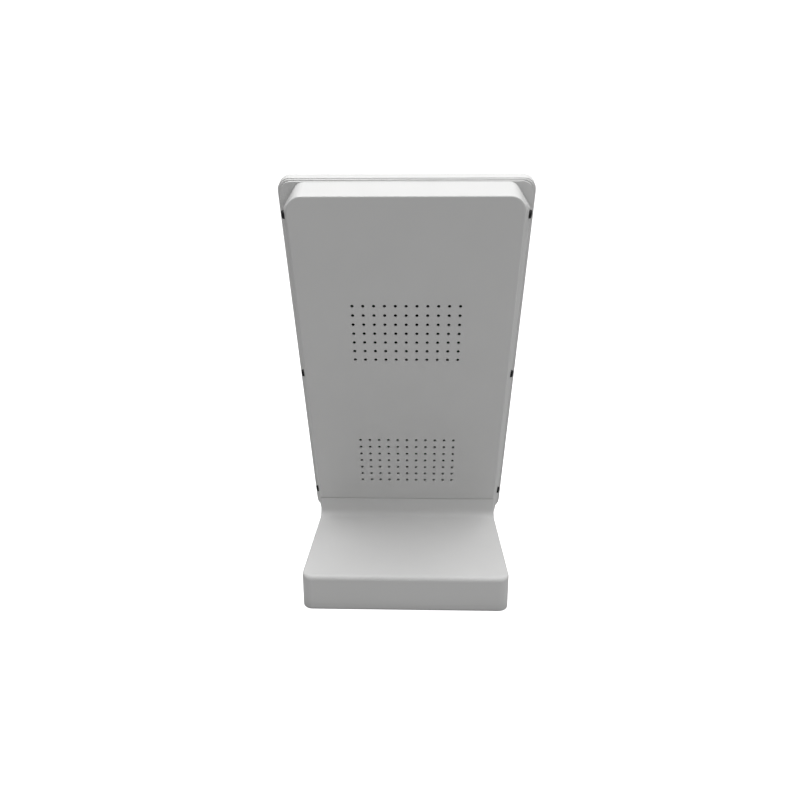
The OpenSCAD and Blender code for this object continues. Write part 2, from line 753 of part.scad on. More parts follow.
// Bent steel plate: one leaf lies along the slanted face, the other on the floor plate
module neck_bracket() color(zinc) difference() {
    at_neck() translate([-bracket_half, 0, 0]) rotate([90, 0, 90]) linear_extrude(2 * bracket_half) {
        top = (joint_high + 6) * cos(lean) - y_bracket_rear * sin(lean);
        leaf = z_floor + bracket_t;
        end = face_y(z_floor, y_bracket_rear) + bracket_foot;
        polygon([[face_y(z_floor, y_bracket), z_floor], [face_y(top, y_bracket), top],
                 [face_y(top, y_bracket_rear), top], [face_y(leaf, y_bracket_rear), leaf], [end, leaf],
                 [end, z_floor]]);
    }
    at_head() joint_holes(neck_bolt_d + 2 * fit, y_bracket_rear + over, y_bracket - over);
    at_head() rod(0, grommet_z, grommet_d + 2 * fit, y_bracket_rear + over, y_bracket - over);
    at_neck() bracket_screw_spots() translate([0, 0, -over]) cylinder(h = bracket_t + 2 * over, d = small_screw_d);
}

// Rubber ring that lines the cable's way from the foot into the head
module cable_grommet() color(black) at_head() difference() {
    inner = -cover_wall - anchor_t;
    union() {
        rod(0, grommet_z, grommet_d, y_bracket_rear, inner);
        rod(0, grommet_z, grommet_flange_d, y_bracket_rear + grommet_flange, y_bracket_rear);
        rod(0, grommet_z, grommet_flange_d, inner, inner - grommet_flange);
    }
    rod(0, grommet_z, cable_d + 2 * gap, y_bracket_rear + 2 * over, inner - 2 * over);
}

// Cable from the jack board, through the grommet and up to the main board
module link_cable() color(black) difference() {
    at_head() {
        rod(0, grommet_z, cable_d, y_bracket_rear + bracket_foot, cable_y + cable_bend);
        translate([0, cable_y + cable_bend, grommet_z + cable_bend]) rotate([90, 0, 90]) rotate([0, 0, 180])
            rotate_extrude(angle = 90) translate([cable_bend, 0]) circle(d = cable_d);
        translate([0, cable_y, grommet_z + cable_bend])
            cylinder(h = socket_low - grommet_z - cable_bend, d = cable_d);
    }
    at_neck() box([-cable_d, cable_d], [header_front, foot_back], [-neck_h, 0]);
}

// Pocket under the foot where the leads plug in, open at the bottom
module cable_bay() color(black) at_neck() difference() {
    box([-bay_w / 2, bay_w / 2], [bay_front, bay_rear], [z_floor, bay_top]);
    box([bay_wall - bay_w / 2, bay_w / 2 - bay_wall], [bay_front + bay_wall, bay_rear - bay_wall],
        [z_floor - over, bay_top - bay_wall]);
    jack_room(network_at, network_size);
    jack_room(usb_at, usb_size);
    jack_room(inlet_at, inlet_size);
}

module jack_room(x, size) box([x - size[0] / 2 - gap, x + size[0] / 2 + gap], [bay_front - over, bay_front + 2],
    [jack_z - gap, jack_z + size[1] + gap]);

module jack_body(x, size) box([x - size[0] / 2, x + size[0] / 2],
    [bay_front + bay_wall - jack_deep, bay_front + bay_wall], [jack_z, jack_z + size[1]]);

module network_jack() color(zinc) at_neck() difference() {
    jack_body(network_at, network_size);
    box([network_at - 5.9, network_at + 5.9], [bay_front + bay_wall - 11, bay_front + bay_wall + over],
        [jack_z + 2.4, jack_z + 9.6]);
    box([network_at - 2, network_at + 2], [bay_front + bay_wall - 11, bay_front + bay_wall + over],
        [jack_z + 9, jack_z + 11.6]);
}

module usb_jack() color(zinc) at_neck() {
    difference() {
        jack_body(usb_at, usb_size);
        box([usb_at - 6.4, usb_at + 6.4], [bay_front + bay_wall - 11, bay_front + bay_wall + over],
            [jack_z + 0.8, jack_z + 6.2]);
    }
    box([usb_at - 5.5, usb_at + 5.5], [bay_front + bay_wall - 11.5, bay_front + bay_wall - 1],
        [jack_z + 3.6, jack_z + 5.4]);
}

module power_inlet() color(black) at_neck() {
    middle = jack_z + inlet_size[1] - 5;
    face = bay_front + bay_wall;
    difference() {
        jack_body(inlet_at, inlet_size);
        rod(inlet_at, middle, 6.4, face + over, face - 10);
    }
    rod(inlet_at, middle, 2, face - 1, face - 10.5);
}

module jack_board() color(green) at_neck() difference() {
    box([-36, 36], [jack_front, bay_front - gap], [jack_z - board_t, jack_z]);
    jack_board_spots() cylinder(h = jack_z - z_floor + over, d = small_screw_d + 0.4);
}
module jack_board_spots() for (x = [-31, 33]) translate([x, jack_front + 6, z_floor]) children();

module jack_board_pillars() color(zinc) at_neck() jack_board_spots() difference() {
    cylinder(h = jack_z - board_t - z_floor, d = standoff_d);
    cylinder(h = 9, d = small_screw_d);
}

module jack_board_screws() color(zinc) at_neck() jack_board_spots() translate([0, 0, jack_z - z_floor]) {
    cylinder(h = small_head_t, d = small_head_d);
    translate([0, 0, -board_t - 2]) cylinder(h = board_t + 2, d = small_screw_d - 2 * fit);
}

module cable_header() color(white) at_neck()
    box([-9, 9], [header_front, jack_front + 7], [jack_z, jack_z + 9]);

front_bezel();
cover_glass();
glass_tape();
display_panel();
panel_rails();
panel_ribbon();
mid_frame();
chassis_plate();
bezel_screws();
rear_cover();
cover_screws();
head_anchor();
main_board();
main_board_standoffs();
main_board_screws();
main_board_chips();
main_board_sockets();
heat_sink();
power_board();
power_board_standoffs();
power_board_screws();
power_board_parts();
speaker_left();
speaker_right();
touch_board();
camera_module();
code_scanner();
card_reader();
power_button();
button_bracket();
button_switch();
link_cable();
cable_grommet();
neck_bracket();
neck_bolts();
bracket_screws();
foot_shell();
floor_plate();
floor_screws();
ballast_block();
ballast_screws();
cable_bay();
jack_board();
jack_board_pillars();
jack_board_screws();
cable_header();
power_inlet();
network_jack();
usb_jack();
rubber_feet();
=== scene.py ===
"""Looks of a countertop payment terminal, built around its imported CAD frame. Sizes are in metres."""

import json
import math

import bmesh
import bpy
from mathutils import Matrix, Vector
from mathutils.geometry import delaunay_2d_cdt


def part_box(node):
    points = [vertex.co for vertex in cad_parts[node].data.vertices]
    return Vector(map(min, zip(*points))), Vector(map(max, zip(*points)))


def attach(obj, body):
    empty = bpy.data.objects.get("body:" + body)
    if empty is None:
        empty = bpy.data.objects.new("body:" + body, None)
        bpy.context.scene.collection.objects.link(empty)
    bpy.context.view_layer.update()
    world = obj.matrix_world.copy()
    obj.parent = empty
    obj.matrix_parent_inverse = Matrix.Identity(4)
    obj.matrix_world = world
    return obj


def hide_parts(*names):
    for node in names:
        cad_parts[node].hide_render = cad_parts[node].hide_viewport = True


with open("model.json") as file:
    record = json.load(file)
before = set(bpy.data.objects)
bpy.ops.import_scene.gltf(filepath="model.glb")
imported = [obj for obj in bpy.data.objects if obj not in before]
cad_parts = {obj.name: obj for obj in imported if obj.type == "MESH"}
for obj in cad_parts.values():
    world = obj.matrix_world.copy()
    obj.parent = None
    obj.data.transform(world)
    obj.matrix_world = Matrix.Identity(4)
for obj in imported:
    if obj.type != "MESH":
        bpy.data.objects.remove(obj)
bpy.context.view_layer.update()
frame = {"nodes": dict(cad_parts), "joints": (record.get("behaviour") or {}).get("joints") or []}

MM = 0.001
NODES = frame["nodes"]

# ---------------------------------------------------------------- the head's own frame
# The button's axis runs up along the head. Local X is across, Y is towards the back of the head
# and 0 on the rear cover's back face, and Z runs up the head from the bezel's lower edge.
head_up = Vector(frame["joints"][0]["axis"]).normalized()
lean = math.atan2(head_up.y, head_up.z)
TILT = Matrix.Rotation(-lean, 4, "X")


def tilted_box(node):
    """Lowest and highest corner of a CAD node, measured along the tilted axes."""
    points = [TILT.inverted() @ v.co for v in NODES[node].data.vertices]
    return [Vector(f(p[k] for p in points) for k in range(3)) for f in (min, max)]


HEAD_ORIGIN = Vector((0, tilted_box("rear_cover")[1].y, tilted_box("front_bezel")[0].z))
HEAD = TILT @ Matrix.Translation(HEAD_ORIGIN)


def head_box(node):
    """Lowest and highest corner of a CAD node in the head's frame."""
    return [corner - HEAD_ORIGIN for corner in tilted_box(node)]


# ---------------------------------------------------------------- mesh toolkit
ARC = 10          # steps in a quarter turn of an outline
BEND = 5          # steps in a rounded edge
HOLE = 20         # corners of a vent hole
SEAT = 32         # corners of a screw seat and of the button's hole


def ramp(a, b, count):
    """count + 1 even steps from a to b."""
    return [a + (b - a) * i / count for i in range(count + 1)]


def arc(centre, radius, start, end, count=ARC):
    """Points on an arc in the XZ plane, angles from +X towards +Z."""
    return [(centre[0] + radius * math.cos(a), centre[1] + radius * math.sin(a))
            for a in ramp(start, end, count)]


def outline(half, low, high, radius):
    """A rounded rectangle as (x, z) points, from the lower right corner round by the top."""
    quarter = math.pi / 2
    corners = [(half - radius, low + radius, -quarter), (half - radius, high - radius, 0),
               (radius - half, high - radius, quarter), (radius - half, low + radius, 2 * quarter)]
    return [p for x, z, a in corners for p in arc((x, z), radius, a, a + quarter)]


def ring(bm, points, y):
    """Vertices for an outline at depth y."""
    return [bm.verts.new((x, y, z)) for x, z in points]


def bridge(bm, a, b, closed=True):
    """Quads between two rows of vertices with the same count."""
    n = len(a)
    for i in range(n if closed else n - 1):
        j = (i + 1) % n
        corners = [a[i], a[j], b[j], b[i]]
        keep = []
        for v in corners:
            if all((v.co - k.co).length > 1e-7 for k in keep):
                keep.append(v)
        if len(keep) > 2 and bm.faces.get(keep) is None:
            bm.faces.new(keep)


def inside(point, polygon):
    """Whether a 2D point lies in a polygon."""
    found = False
    x, y = point
    for (x1, y1), (x2, y2) in zip(polygon, polygon[1:] + polygon[:1]):
        if (y1 > y) != (y2 > y) and x < (x2 - x1) * (y - y1) / (y2 - y1) + x1:
            found = not found
    return found


def fill(bm, border, holes=()):
    """Fills a flat border of vertices with triangles, leaving out its holes."""
    loops = [border, *holes]
    verts = [v for loop in loops for v in loop]
    origin = verts[0].co
    normal = Vector()
    for a, b in zip(border, border[1:] + border[:1]):
        normal += (a.co - origin).cross(b.co - origin)
    normal.normalize()
    across = normal.orthogonal().normalized()
    along = normal.cross(across)
    flat = [Vector(((v.co - origin).dot(across), (v.co - origin).dot(along))) * 1000 for v in verts]
    edges, start = [], 0
    polygons = []
    for loop in loops:
        ids = list(range(start, start + len(loop)))
        edges += list(zip(ids, ids[1:] + ids[:1]))
        polygons.append([tuple(flat[i]) for i in ids])
        start += len(loop)
    owner = [k for k, loop in enumerate(loops) for _ in loop]
    _, _, faces, original, _, _ = delaunay_2d_cdt(flat, edges, [], 0, 1e-6)
    for face in faces:
        ids = [original[i][0] for i in face]
        centre = sum((flat[i] for i in ids), Vector((0, 0))) / 3
        owners = {owner[i] for i in ids}
        if not inside(centre, polygons[0]):
            continue
        if len(owners) == 1 and 0 not in owners and inside(centre, polygons[owners.pop()]):
            continue
        bm.faces.new([verts[i] for i in ids])


def circle(bm, matrix, radius, height, count=HOLE):
    """A circle of vertices about matrix's Z axis, at a height along it."""
    turns = [2 * math.pi * i / count for i in range(count)]
    return [bm.verts.new(matrix @ Vector((radius * math.cos(a), radius * math.sin(a), height)))
            for a in turns]


def stack(bm, matrix, steps, count=HOLE, first=None):
    """Rings of (radius, height) about matrix's Z axis, joined in order. Returns the last ring."""
    last = first
    for radius, height in steps:
        new = circle(bm, matrix, radius, height, count)
        if last is not None:
            bridge(bm, last, new)
        last = new
    return last


def lathe(bm, matrix, steps, count=32):
    """A closed turned solid: steps of (radius, height), whose ends are capped."""
    first = circle(bm, matrix, *steps[0], count)
    last = stack(bm, matrix, steps[1:], count, first)
    bm.faces.new(first[::-1])
    bm.faces.new(last)


def facing(normal, at):
    """A matrix at a point whose Z axis is the given normal."""
    return Matrix.Translation(at) @ Vector(normal).to_track_quat("Z", "Y").to_matrix().to_4x4()


def loft(bm, sections, closed=True):
    """Joins rounded rectangles (half, low, high, radius, y) in order, and back to the first."""
    rings = [ring(bm, outline(*s[:4]), s[4]) for s in sections]
    for a, b in zip(rings, rings[1:] + (rings[:1] if closed else [])):
        bridge(bm, a, b)
    return rings


def rounded(profile, radius, count=3):
    """Rounds the corners of a closed list of (half, low, high, corner, y) sections."""
    made = []
    n = len(profile)
    for i, here in enumerate(profile):
        before, after = Vector(profile[i - 1]), Vector(profile[(i + 1) % n])
        here = Vector(here)
        into, out = before - here, after - here
        reach = [Vector((v[0], v[4])).length for v in (into, out)]
        cut = [min(radius, 0.4 * r) / r for r in reach]
        for t in ramp(0, math.pi / 2, count):
            made.append(tuple(here + into * cut[0] * (1 - math.sin(t)) + out * cut[1] * (1 - math.cos(t))))
    return made


def piece(name, bm, material, body="terminal", matrix=None, replaces=(), smooth=30):
    """Makes the piece's object with clean normals, and rides it on its body."""
    bmesh.ops.remove_doubles(bm, verts=bm.verts, dist=1e-7)
    bmesh.ops.recalc_face_normals(bm, faces=bm.faces)
    if matrix is not None:
        bm.transform(matrix)
    mesh = bpy.data.meshes.new(name)
    bm.to_mesh(mesh)
    bm.free()
    mesh.shade_smooth()
    mesh.set_sharp_from_angle(angle=math.radians(smooth))
    for m in material if isinstance(material, (list, tuple)) else [material]:
        mesh.materials.append(m)
    made = bpy.data.objects.new(name, mesh)
    bpy.context.scene.collection.objects.link(made)
    weighted = made.modifiers.new("normals", "WEIGHTED_NORMAL")
    weighted.keep_sharp = True
    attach(made, body)
    if replaces:
        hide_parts(*replaces)
    return made


# ---------------------------------------------------------------- materials
class Finish:
    """A procedural material under construction. Patterns are in object space, in metres."""

    def __init__(self, name, color, roughness, metallic=0.0, tilt=False, **settings):
        self.material = bpy.data.materials.new(name)
        self.material.use_nodes = True
        self.tree = self.material.node_tree
        self.shader = self.tree.nodes["Principled BSDF"]
        self.shader.inputs["Metallic"].default_value = metallic
        self.shader.inputs["Roughness"].default_value = roughness
        self.shader.inputs["Base Color"].default_value = (*color, 1)
        for key, value in settings.items():
            self.shader.inputs[key.replace("_", " ")].default_value = value
        self.color = self.rgb(color)
        self.roughness = roughness
        self.normal = None
        self.coords = self.tree.nodes.new("ShaderNodeTexCoord").outputs["Object"]
        if tilt:
            turn = self.tree.nodes.new("ShaderNodeMapping")
            turn.inputs["Rotation"].default_value = (lean, 0, 0)
            self.tree.links.new(self.coords, turn.inputs["Vector"])
            self.coords = turn.outputs["Vector"]

    def rgb(self, color):
        node = self.tree.nodes.new("ShaderNodeRGB")
        node.outputs[0].default_value = (*color, 1)
        return node.outputs[0]

    def stretched(self, scale):
        """The coordinates scaled along each axis."""
        node = self.tree.nodes.new("ShaderNodeMapping")
        node.inputs["Scale"].default_value = scale
        self.tree.links.new(self.coords, node.inputs["Vector"])
        return node.outputs["Vector"]

    def noise(self, scale, detail=2.0, coords=None):
        node = self.tree.nodes.new("ShaderNodeTexNoise")
        node.inputs["Scale"].default_value = scale
        node.inputs["Detail"].default_value = detail
        self.tree.links.new(coords or self.coords, node.inputs["Vector"])
        return node.outputs["Fac"]

    def cells(self, scale, feature="F1", output="Distance", coords=None):
        node = self.tree.nodes.new("ShaderNodeTexVoronoi")
        node.feature = feature
        node.inputs["Scale"].default_value = scale
        self.tree.links.new(coords or self.coords, node.inputs["Vector"])
        return node.outputs[output]

    def spread(self, value, low, high, to_low=0.0, to_high=1.0):
        """Maps a value's range low to high onto another range, clamped."""
        node = self.tree.nodes.new("ShaderNodeMapRange")
        for key, number in zip(("From Min", "From Max", "To Min", "To Max"), (low, high, to_low, to_high)):
            node.inputs[key].default_value = number
        self.tree.links.new(value, node.inputs["Value"])
        return node.outputs["Result"]

    def math(self, operation, a, b):
        node = self.tree.nodes.new("ShaderNodeMath")
        node.operation = operation
        for socket, value in zip(node.inputs, (a, b)):
            if isinstance(value, (int, float)):
                socket.default_value = value
            else:
                self.tree.links.new(value, socket)
        return node.outputs[0]

    def axis(self, name, coords=None):
        node = self.tree.nodes.new("ShaderNodeSeparateXYZ")
        self.tree.links.new(coords or self.coords, node.inputs[0])
        return node.outputs[name]

    def tint(self, factor, color):
        """Mixes a colour over what is there, by a factor socket."""
        node = self.tree.nodes.new("ShaderNodeMix")
        node.data_type = "RGBA"
        self.tree.links.new(factor, node.inputs["Factor"])
        self.tree.links.new(self.color, node.inputs[6])
        self.tree.links.new(self.rgb(color), node.inputs[7])
        self.color = node.outputs[2]
        return self

    def rough(self, value, low, high):
        """Roughness from low to high as the value goes from 0.3 to 0.7."""
        self.tree.links.new(self.spread(value, 0.3, 0.7, low, high), self.shader.inputs["Roughness"])
        return self

    def bump(self, value, depth, strength=1.0):
        """Raises the surface by a depth in metres where the value is 1."""
        node = self.tree.nodes.new("ShaderNodeBump")
        node.inputs["Distance"].default_value = depth
        node.inputs["Strength"].default_value = strength
        self.tree.links.new(value, node.inputs["Height"])
        if self.normal is not None:
            self.tree.links.new(self.normal, node.inputs["Normal"])
        self.normal = node.outputs["Normal"]
        return self

    def done(self):
        self.tree.links.new(self.color, self.shader.inputs["Base Color"])
        if self.normal is not None:
            self.tree.links.new(self.normal, self.shader.inputs["Normal"])
        return self.material


def powder_coat(name, color):
    """Satin powder coat: a fine orange peel, and the faint unevenness of a sprayed coat."""
    f = Finish(name, color, 0.42, Specular_IOR_Level=0.5)
    f.tint(f.spread(f.noise(14, 3), 0.35, 0.65, 0.0, 0.5), [c * 0.965 for c in color])
    f.tint(f.spread(f.noise(2600, 1), 0.62, 0.75, 0.0, 0.25), [c * 0.93 for c in color])
    f.rough(f.noise(45, 3), 0.37, 0.47)
    f.bump(f.noise(750, 2), 0.00006, 0.5)
    f.bump(f.noise(3000, 1), 0.00001, 0.5)
    return f.done()


def moulded(name, color, roughness=0.48, grain=0.000012, shade=0.95):
    """Moulded plastic with a fine spark-eroded grain."""
    f = Finish(name, color, roughness, Specular_IOR_Level=0.45)
    f.tint(f.spread(f.noise(9, 2), 0.35, 0.65, 0.0, 0.5), [c * shade for c in color])
    f.rough(f.noise(60, 3), roughness - 0.05, roughness + 0.06)
    f.bump(f.cells(1800), grain, 0.6)
    f.bump(f.noise(4200, 1), grain * 0.6, 0.5)
    return f.done()


def plated(name, color, roughness=0.34):
    """Zinc plated sheet: soft spangle, a rolled grain and a few darker stains."""
    f = Finish(name, color, roughness, 1.0)
    f.tint(f.spread(f.cells(220, output="Color"), 0.2, 0.9, 0.0, 0.35), [c * 0.8 for c in color])
    f.tint(f.spread(f.noise(35, 4), 0.55, 0.75, 0.0, 0.5), [c * 0.72 for c in color])
    rolled = f.noise(300, 2, f.stretched((0.05, 1, 4)))
    f.rough(rolled, roughness - 0.08, roughness + 0.14)
    f.bump(rolled, 0.000008, 0.5)
    return f.done()


def anodised(name, color, roughness=0.38):
    """Anodised aluminium with a bead-blasted grain."""
    f = Finish(name, color, roughness, 0.9)
    f.tint(f.spread(f.noise(70, 3), 0.4, 0.7, 0.0, 0.4), [c * 0.85 for c in color])
    f.rough(f.noise(900, 2), roughness - 0.06, roughness + 0.1)
    f.bump(f.noise(5200, 1), 0.000006, 0.6)
    return f.done()


def rubber(name, color):
    """Dull rubber with a dusty bloom and a fine pitted skin."""
    f = Finish(name, color, 0.78, Specular_IOR_Level=0.3)
    f.tint(f.spread(f.noise(55, 4), 0.5, 0.75, 0.0, 0.6), [c * 2.2 + 0.01 for c in color])
    f.rough(f.noise(120, 3), 0.7, 0.88)
    f.bump(f.noise(2400, 2), 0.00003, 0.6)
    return f.done()


def circuit_board(name, mask):
    """Solder mask over copper traces, with tinned vias, laid out in the head's own axes."""
    f = Finish(name, mask, 0.32, tilt=True, Specular_IOR_Level=0.5)
    copper = [c * 1.7 + 0.01 for c in mask]
    rows = f.cells(160, "DISTANCE_TO_EDGE", coords=f.stretched((1, 0.1, 0.35)))
    columns = f.cells(130, "DISTANCE_TO_EDGE", coords=f.stretched((0.35, 0.1, 1)))
    across = f.spread(rows, 0.02, 0.06, 1, 0)
    along = f.spread(columns, 0.02, 0.06, 1, 0)
    traces = f.math("MAXIMUM", across, along)
    f.tint(f.math("MULTIPLY", traces, 0.7), copper)
    vias = f.spread(f.cells(240), 0.07, 0.11, 1, 0)
    f.tint(vias, (0.55, 0.5, 0.34))
    f.tint(f.spread(f.noise(30, 2), 0.4, 0.7, 0.0, 0.3), [c * 0.7 for c in mask])
    f.rough(f.noise(80, 2), 0.26, 0.4)
    f.bump(traces, 0.00003, 0.7)
    return f.done()


def printed_ribbon(name, color):
    """Flat cable: fine parallel conductors under a milky film."""
    f = Finish(name, color, 0.4, tilt=True)
    lines = f.math("FRACT", f.math("MULTIPLY", f.axis("X"), 1250), 0)
    f.tint(f.spread(lines, 0.35, 0.5, 0.0, 0.7), (0.62, 0.56, 0.45))
    f.rough(f.noise(90, 2), 0.34, 0.48)
    f.bump(lines, 0.00002, 0.6)
    return f.done()


def black_print(name):
    """Black ceramic print fired on the back of the glass, with a trace of its screen mesh."""
    f = Finish(name, (0.008, 0.008, 0.009), 0.3)
    f.tint(f.spread(f.noise(400, 2), 0.45, 0.7, 0.0, 0.3), (0.011, 0.011, 0.012))
    f.rough(f.noise(260, 2), 0.26, 0.38)
    f.bump(f.noise(3000, 1), 0.000001, 0.3)
    return f.done()


def clear_glass(name):
    """Toughened cover glass, faintly green, with the slightest smears."""
    f = Finish(name, (0.97, 0.99, 0.98), 0.03, Transmission_Weight=1.0, IOR=1.5)
    f.tint(f.spread(f.noise(8, 3), 0.5, 0.8, 0.0, 0.3), (0.93, 0.96, 0.95))
    f.rough(f.noise(18, 4), 0.0, 0.012)
    return f.done()


def display_face(name):
    """A display that is off: a dark polariser over a faint grid of pixels, in a thin metal frame."""
    f = Finish(name, (0.009, 0.01, 0.013), 0.28, tilt=True, Specular_IOR_Level=0.4)
    columns = f.math("FRACT", f.math("MULTIPLY", f.axis("X"), 5500), 0)
    f.tint(f.spread(columns, 0.75, 0.9, 0.0, 0.5), (0.014, 0.015, 0.02))
    f.rough(f.noise(6, 2), 0.24, 0.3)
    f.bump(f.noise(2500, 1), 0.000004, 0.4)
    return f.done()


def blackened(name):
    """Black oxide on steel, rubbed a little brown and bright."""
    f = Finish(name, (0.022, 0.022, 0.024), 0.42, 0.75)
    f.tint(f.spread(f.noise(900, 3), 0.5, 0.75, 0.0, 0.6), (0.07, 0.066, 0.06))
    f.rough(f.noise(1300, 2), 0.34, 0.55)
    f.bump(f.noise(3800, 2), 0.000008, 0.6)
    return f.done()


WHITE = (0.80, 0.80, 0.795)
coat = powder_coat("white_powder_coat", WHITE)
plastic = moulded("white_plastic", WHITE)
zinc = plated("zinc_plate", (0.62, 0.63, 0.65))
steel = plated("plain_steel", (0.44, 0.44, 0.45), 0.42)
shield = plated("tinned_shield", (0.74, 0.74, 0.73), 0.24)
black_steel = blackened("black_oxide")
board_green = circuit_board("solder_mask", (0.012, 0.085, 0.035))
reader_blue = circuit_board("antenna_board", (0.012, 0.035, 0.16))
chip_black = moulded("epoxy_package", (0.022, 0.022, 0.024), 0.5, 0.00001, 1.6)
black_plastic = moulded("black_plastic", (0.028, 0.028, 0.03), 0.46, 0.00001, 1.5)
nylon = moulded("natural_nylon", (0.66, 0.64, 0.57), 0.4, 0.000008, 0.9)
fin_black = anodised("black_anodised", (0.035, 0.035, 0.038), 0.44)
button_metal = anodised("satin_anodised", (0.62, 0.62, 0.64))
foot_rubber = rubber("black_rubber", (0.018, 0.018, 0.018))
foam = rubber("foam_tape", (0.022, 0.022, 0.022))
sheath = moulded("cable_sheath", (0.02, 0.02, 0.02), 0.6, 0.00002, 1.8)
ribbon = printed_ribbon("flat_cable", (0.7, 0.7, 0.66))
glass = clear_glass("cover_glass_clear")
print_black = black_print("glass_print")
display = display_face("display_off")


# ---------------------------------------------------------------- rear cover
cover_lo, cover_hi = head_box("rear_cover")
COVER_HALF = cover_hi.x
COVER_LOW, COVER_TOP = cover_lo.z, cover_hi.z
COVER_DEEP = -cover_lo.y
COVER_DRAFT = 10 * MM
BACK_HALF = COVER_HALF - COVER_DRAFT
COVER_WALL = 1.5 * MM
STEP = 2 * MM                 # thickness of the flange around the rim
LEDGE = 0.35 * MM             # how far the flange stands out past the pressed pan
RIM_R, SLANT_W, SLANT_H = 10 * MM, 21.5 * MM, 27.3 * MM
BACK_R, LOW_R = 14 * MM, 6 * MM
EDGE_R = 1.3 * MM             # bend between the back face and the walls
NECK_LINE = head_box("mid_frame")[1].z - 361 * MM
VENT_PITCH, VENT_R = 10 * MM, 1.5 * MM
VENT_COLS, VENT_ROWS = 11, 7
VENT_FIELDS = (NECK_LINE + 60.2 * MM, NECK_LINE + 226 * MM)
SCREW_DEPTH, SCREW_PITCH, SCREW_TOP = 25 * MM, 172.5 * MM, 26 * MM
SCREW_Z = [COVER_TOP - SCREW_TOP - i * SCREW_PITCH for i in range(3)]
SCREW_D, DIMPLE_D, DIMPLE_DEEP, CONE_H = 4 * MM, 9.5 * MM, 0.5 * MM, 2 * MM
draft = math.atan2(COVER_DRAFT, COVER_DEEP)
BUTTON = head_box("power_button")
BUTTON_X = (BUTTON[0].x + BUTTON[1].x) / 2
BUTTON_Y = (BUTTON[0].y + BUTTON[1].y) / 2
BUTTON_HOLE_R = 4.8 * MM
BOLT_X, BOLT_Z, BOLT_R = (26 * MM, 66 * MM), (-40 * MM, -30 * MM), 2.55 * MM
GROMMET_Z, GROMMET_R = -35 * MM, 6.55 * MM


def side_screw(side, z, sunk=0.0):
    """A matrix on the slanted wall at a cover screw, Z pointing out of the wall."""
    x = BACK_HALF + COVER_DRAFT * SCREW_DEPTH / COVER_DEEP
    out = Vector((side * math.cos(draft), math.sin(draft), 0))
    return facing(out, Vector((side * x, -SCREW_DEPTH, z)) - out * sunk)


def pan_rows(inset):
    """The pan's outline as matching points on the back face and on the rim, right lower corner first."""
    cut = inset / math.cos(draft)
    quarter = math.pi / 2
    back_c = (BACK_HALF - BACK_R, COVER_TOP - BACK_R)
    low_rim = (COVER_HALF - RIM_R, COVER_TOP - SLANT_H)
    high_rim = (COVER_HALF - SLANT_W, COVER_TOP - RIM_R)
    turn = math.atan2(low_rim[0] - high_rim[0], high_rim[1] - low_rim[1])
    back = arc((BACK_HALF - LOW_R, COVER_LOW + LOW_R), LOW_R - cut, -quarter, 0)
    rim = arc((COVER_HALF - LOW_R, COVER_LOW + LOW_R), LOW_R - cut, -quarter, 0)
    for centre, a, b in ((low_rim, 0, turn), (high_rim, turn, quarter)):
        back += arc(back_c, BACK_R - cut, a, b, ARC // 2)
        rim += arc(centre, RIM_R - cut, a, b, ARC // 2)
    return ([*back, *[(-x, z) for x, z in back[::-1]]], [*rim, *[(-x, z) for x, z in rim[::-1]]])


def flange_row():
    """Points on the flange's outline that match the pan's rim points."""
    quarter = math.pi / 2
    low = arc((COVER_HALF - LOW_R, COVER_LOW + LOW_R), LOW_R, -quarter, 0)
    straight = SLANT_H - RIM_R
    bend = RIM_R * quarter
    level = SLANT_W - RIM_R
    count = 2 * (ARC // 2) + 1
    top = []
    for s in ramp(0, straight + bend + level, count):
        if s < straight:
            top.append((COVER_HALF, COVER_TOP - SLANT_H + s))
        elif s < straight + bend:
            a = (s - straight) / RIM_R
            top.append((COVER_HALF - RIM_R + RIM_R * math.cos(a), COVER_TOP - RIM_R + RIM_R * math.sin(a)))
        else:
            top.append((COVER_HALF - RIM_R - (s - straight - bend), COVER_TOP))
    right = low + top
    return right + [(-x, z) for x, z in right[::-1]]


def inward(points):
    """Unit normals that point into a closed outline. Points in the same place get the same normal."""
    made = []
    n = len(points)
    for i, here in enumerate(points):
        normal = Vector((0, 0))
        for step in (-1, 1):
            k = i + step
            while math.dist(points[k % n], here) < 1e-7:
                k += step
            dx, dz = points[k % n][0] - here[0], points[k % n][1] - here[1]
            normal += step * Vector((-dz, dx)) / math.hypot(dx, dz)
        made.append(normal.normalized())
    return made


def cover_skin(bm, inset, edge_r, ledge):
    """One skin of the pan. Returns its back border, its rim row and the corners of the flat walls."""
    back, rim = pan_rows(inset)
    y_back = -inset
    y_rim = STEP - COVER_DEEP
    into = inward(back)
    rows = []
    for t in ramp(0, math.pi / 2, BEND):
        row = []
        for (bx, bz), (rx, rz), n in zip(back, rim, into):
            wall = Vector((rx - bx, y_rim - y_back, rz - bz)).normalized()
            face = Vector((n.x, 0, n.y))
            at = Vector((bx, y_back, bz))
            row.append(bm.verts.new(at + edge_r * (wall * (1 - math.sin(t)) + face * (1 - math.cos(t)))))
        rows.append(row)
    share = (COVER_DEEP - STEP - inset) / (COVER_DEEP - inset)
    low = []
    for (bx, bz), (rx, rz) in zip(back, rim):
        drop = ledge if rz > COVER_TOP / 2 else -ledge
        low.append(bm.verts.new((bx + (rx - bx) * share, y_rim, bz + (rz - bz) * share - drop)))
    for a, b in zip(rows, rows[1:]):
        bridge(bm, a, b)
    return rows[-1], rows[0], low


def open_walls(bm, top, low, walls):
    """Joins the bend to the rim. walls gives (first, last, holes) for each stretch that has holes."""
    n = len(top)
    taken = set()
    for first, last, holes in walls:
        stretch = [i % n for i in range(first, last + 2)]
        taken.update(stretch[:-1])
        fill(bm, [low[i] for i in stretch] + [top[i] for i in stretch[::-1]], holes)
    for i in range(n):
        if i not in taken:
            bridge(bm, [low[i], low[(i + 1) % n]], [top[i], top[(i + 1) % n]], closed=False)


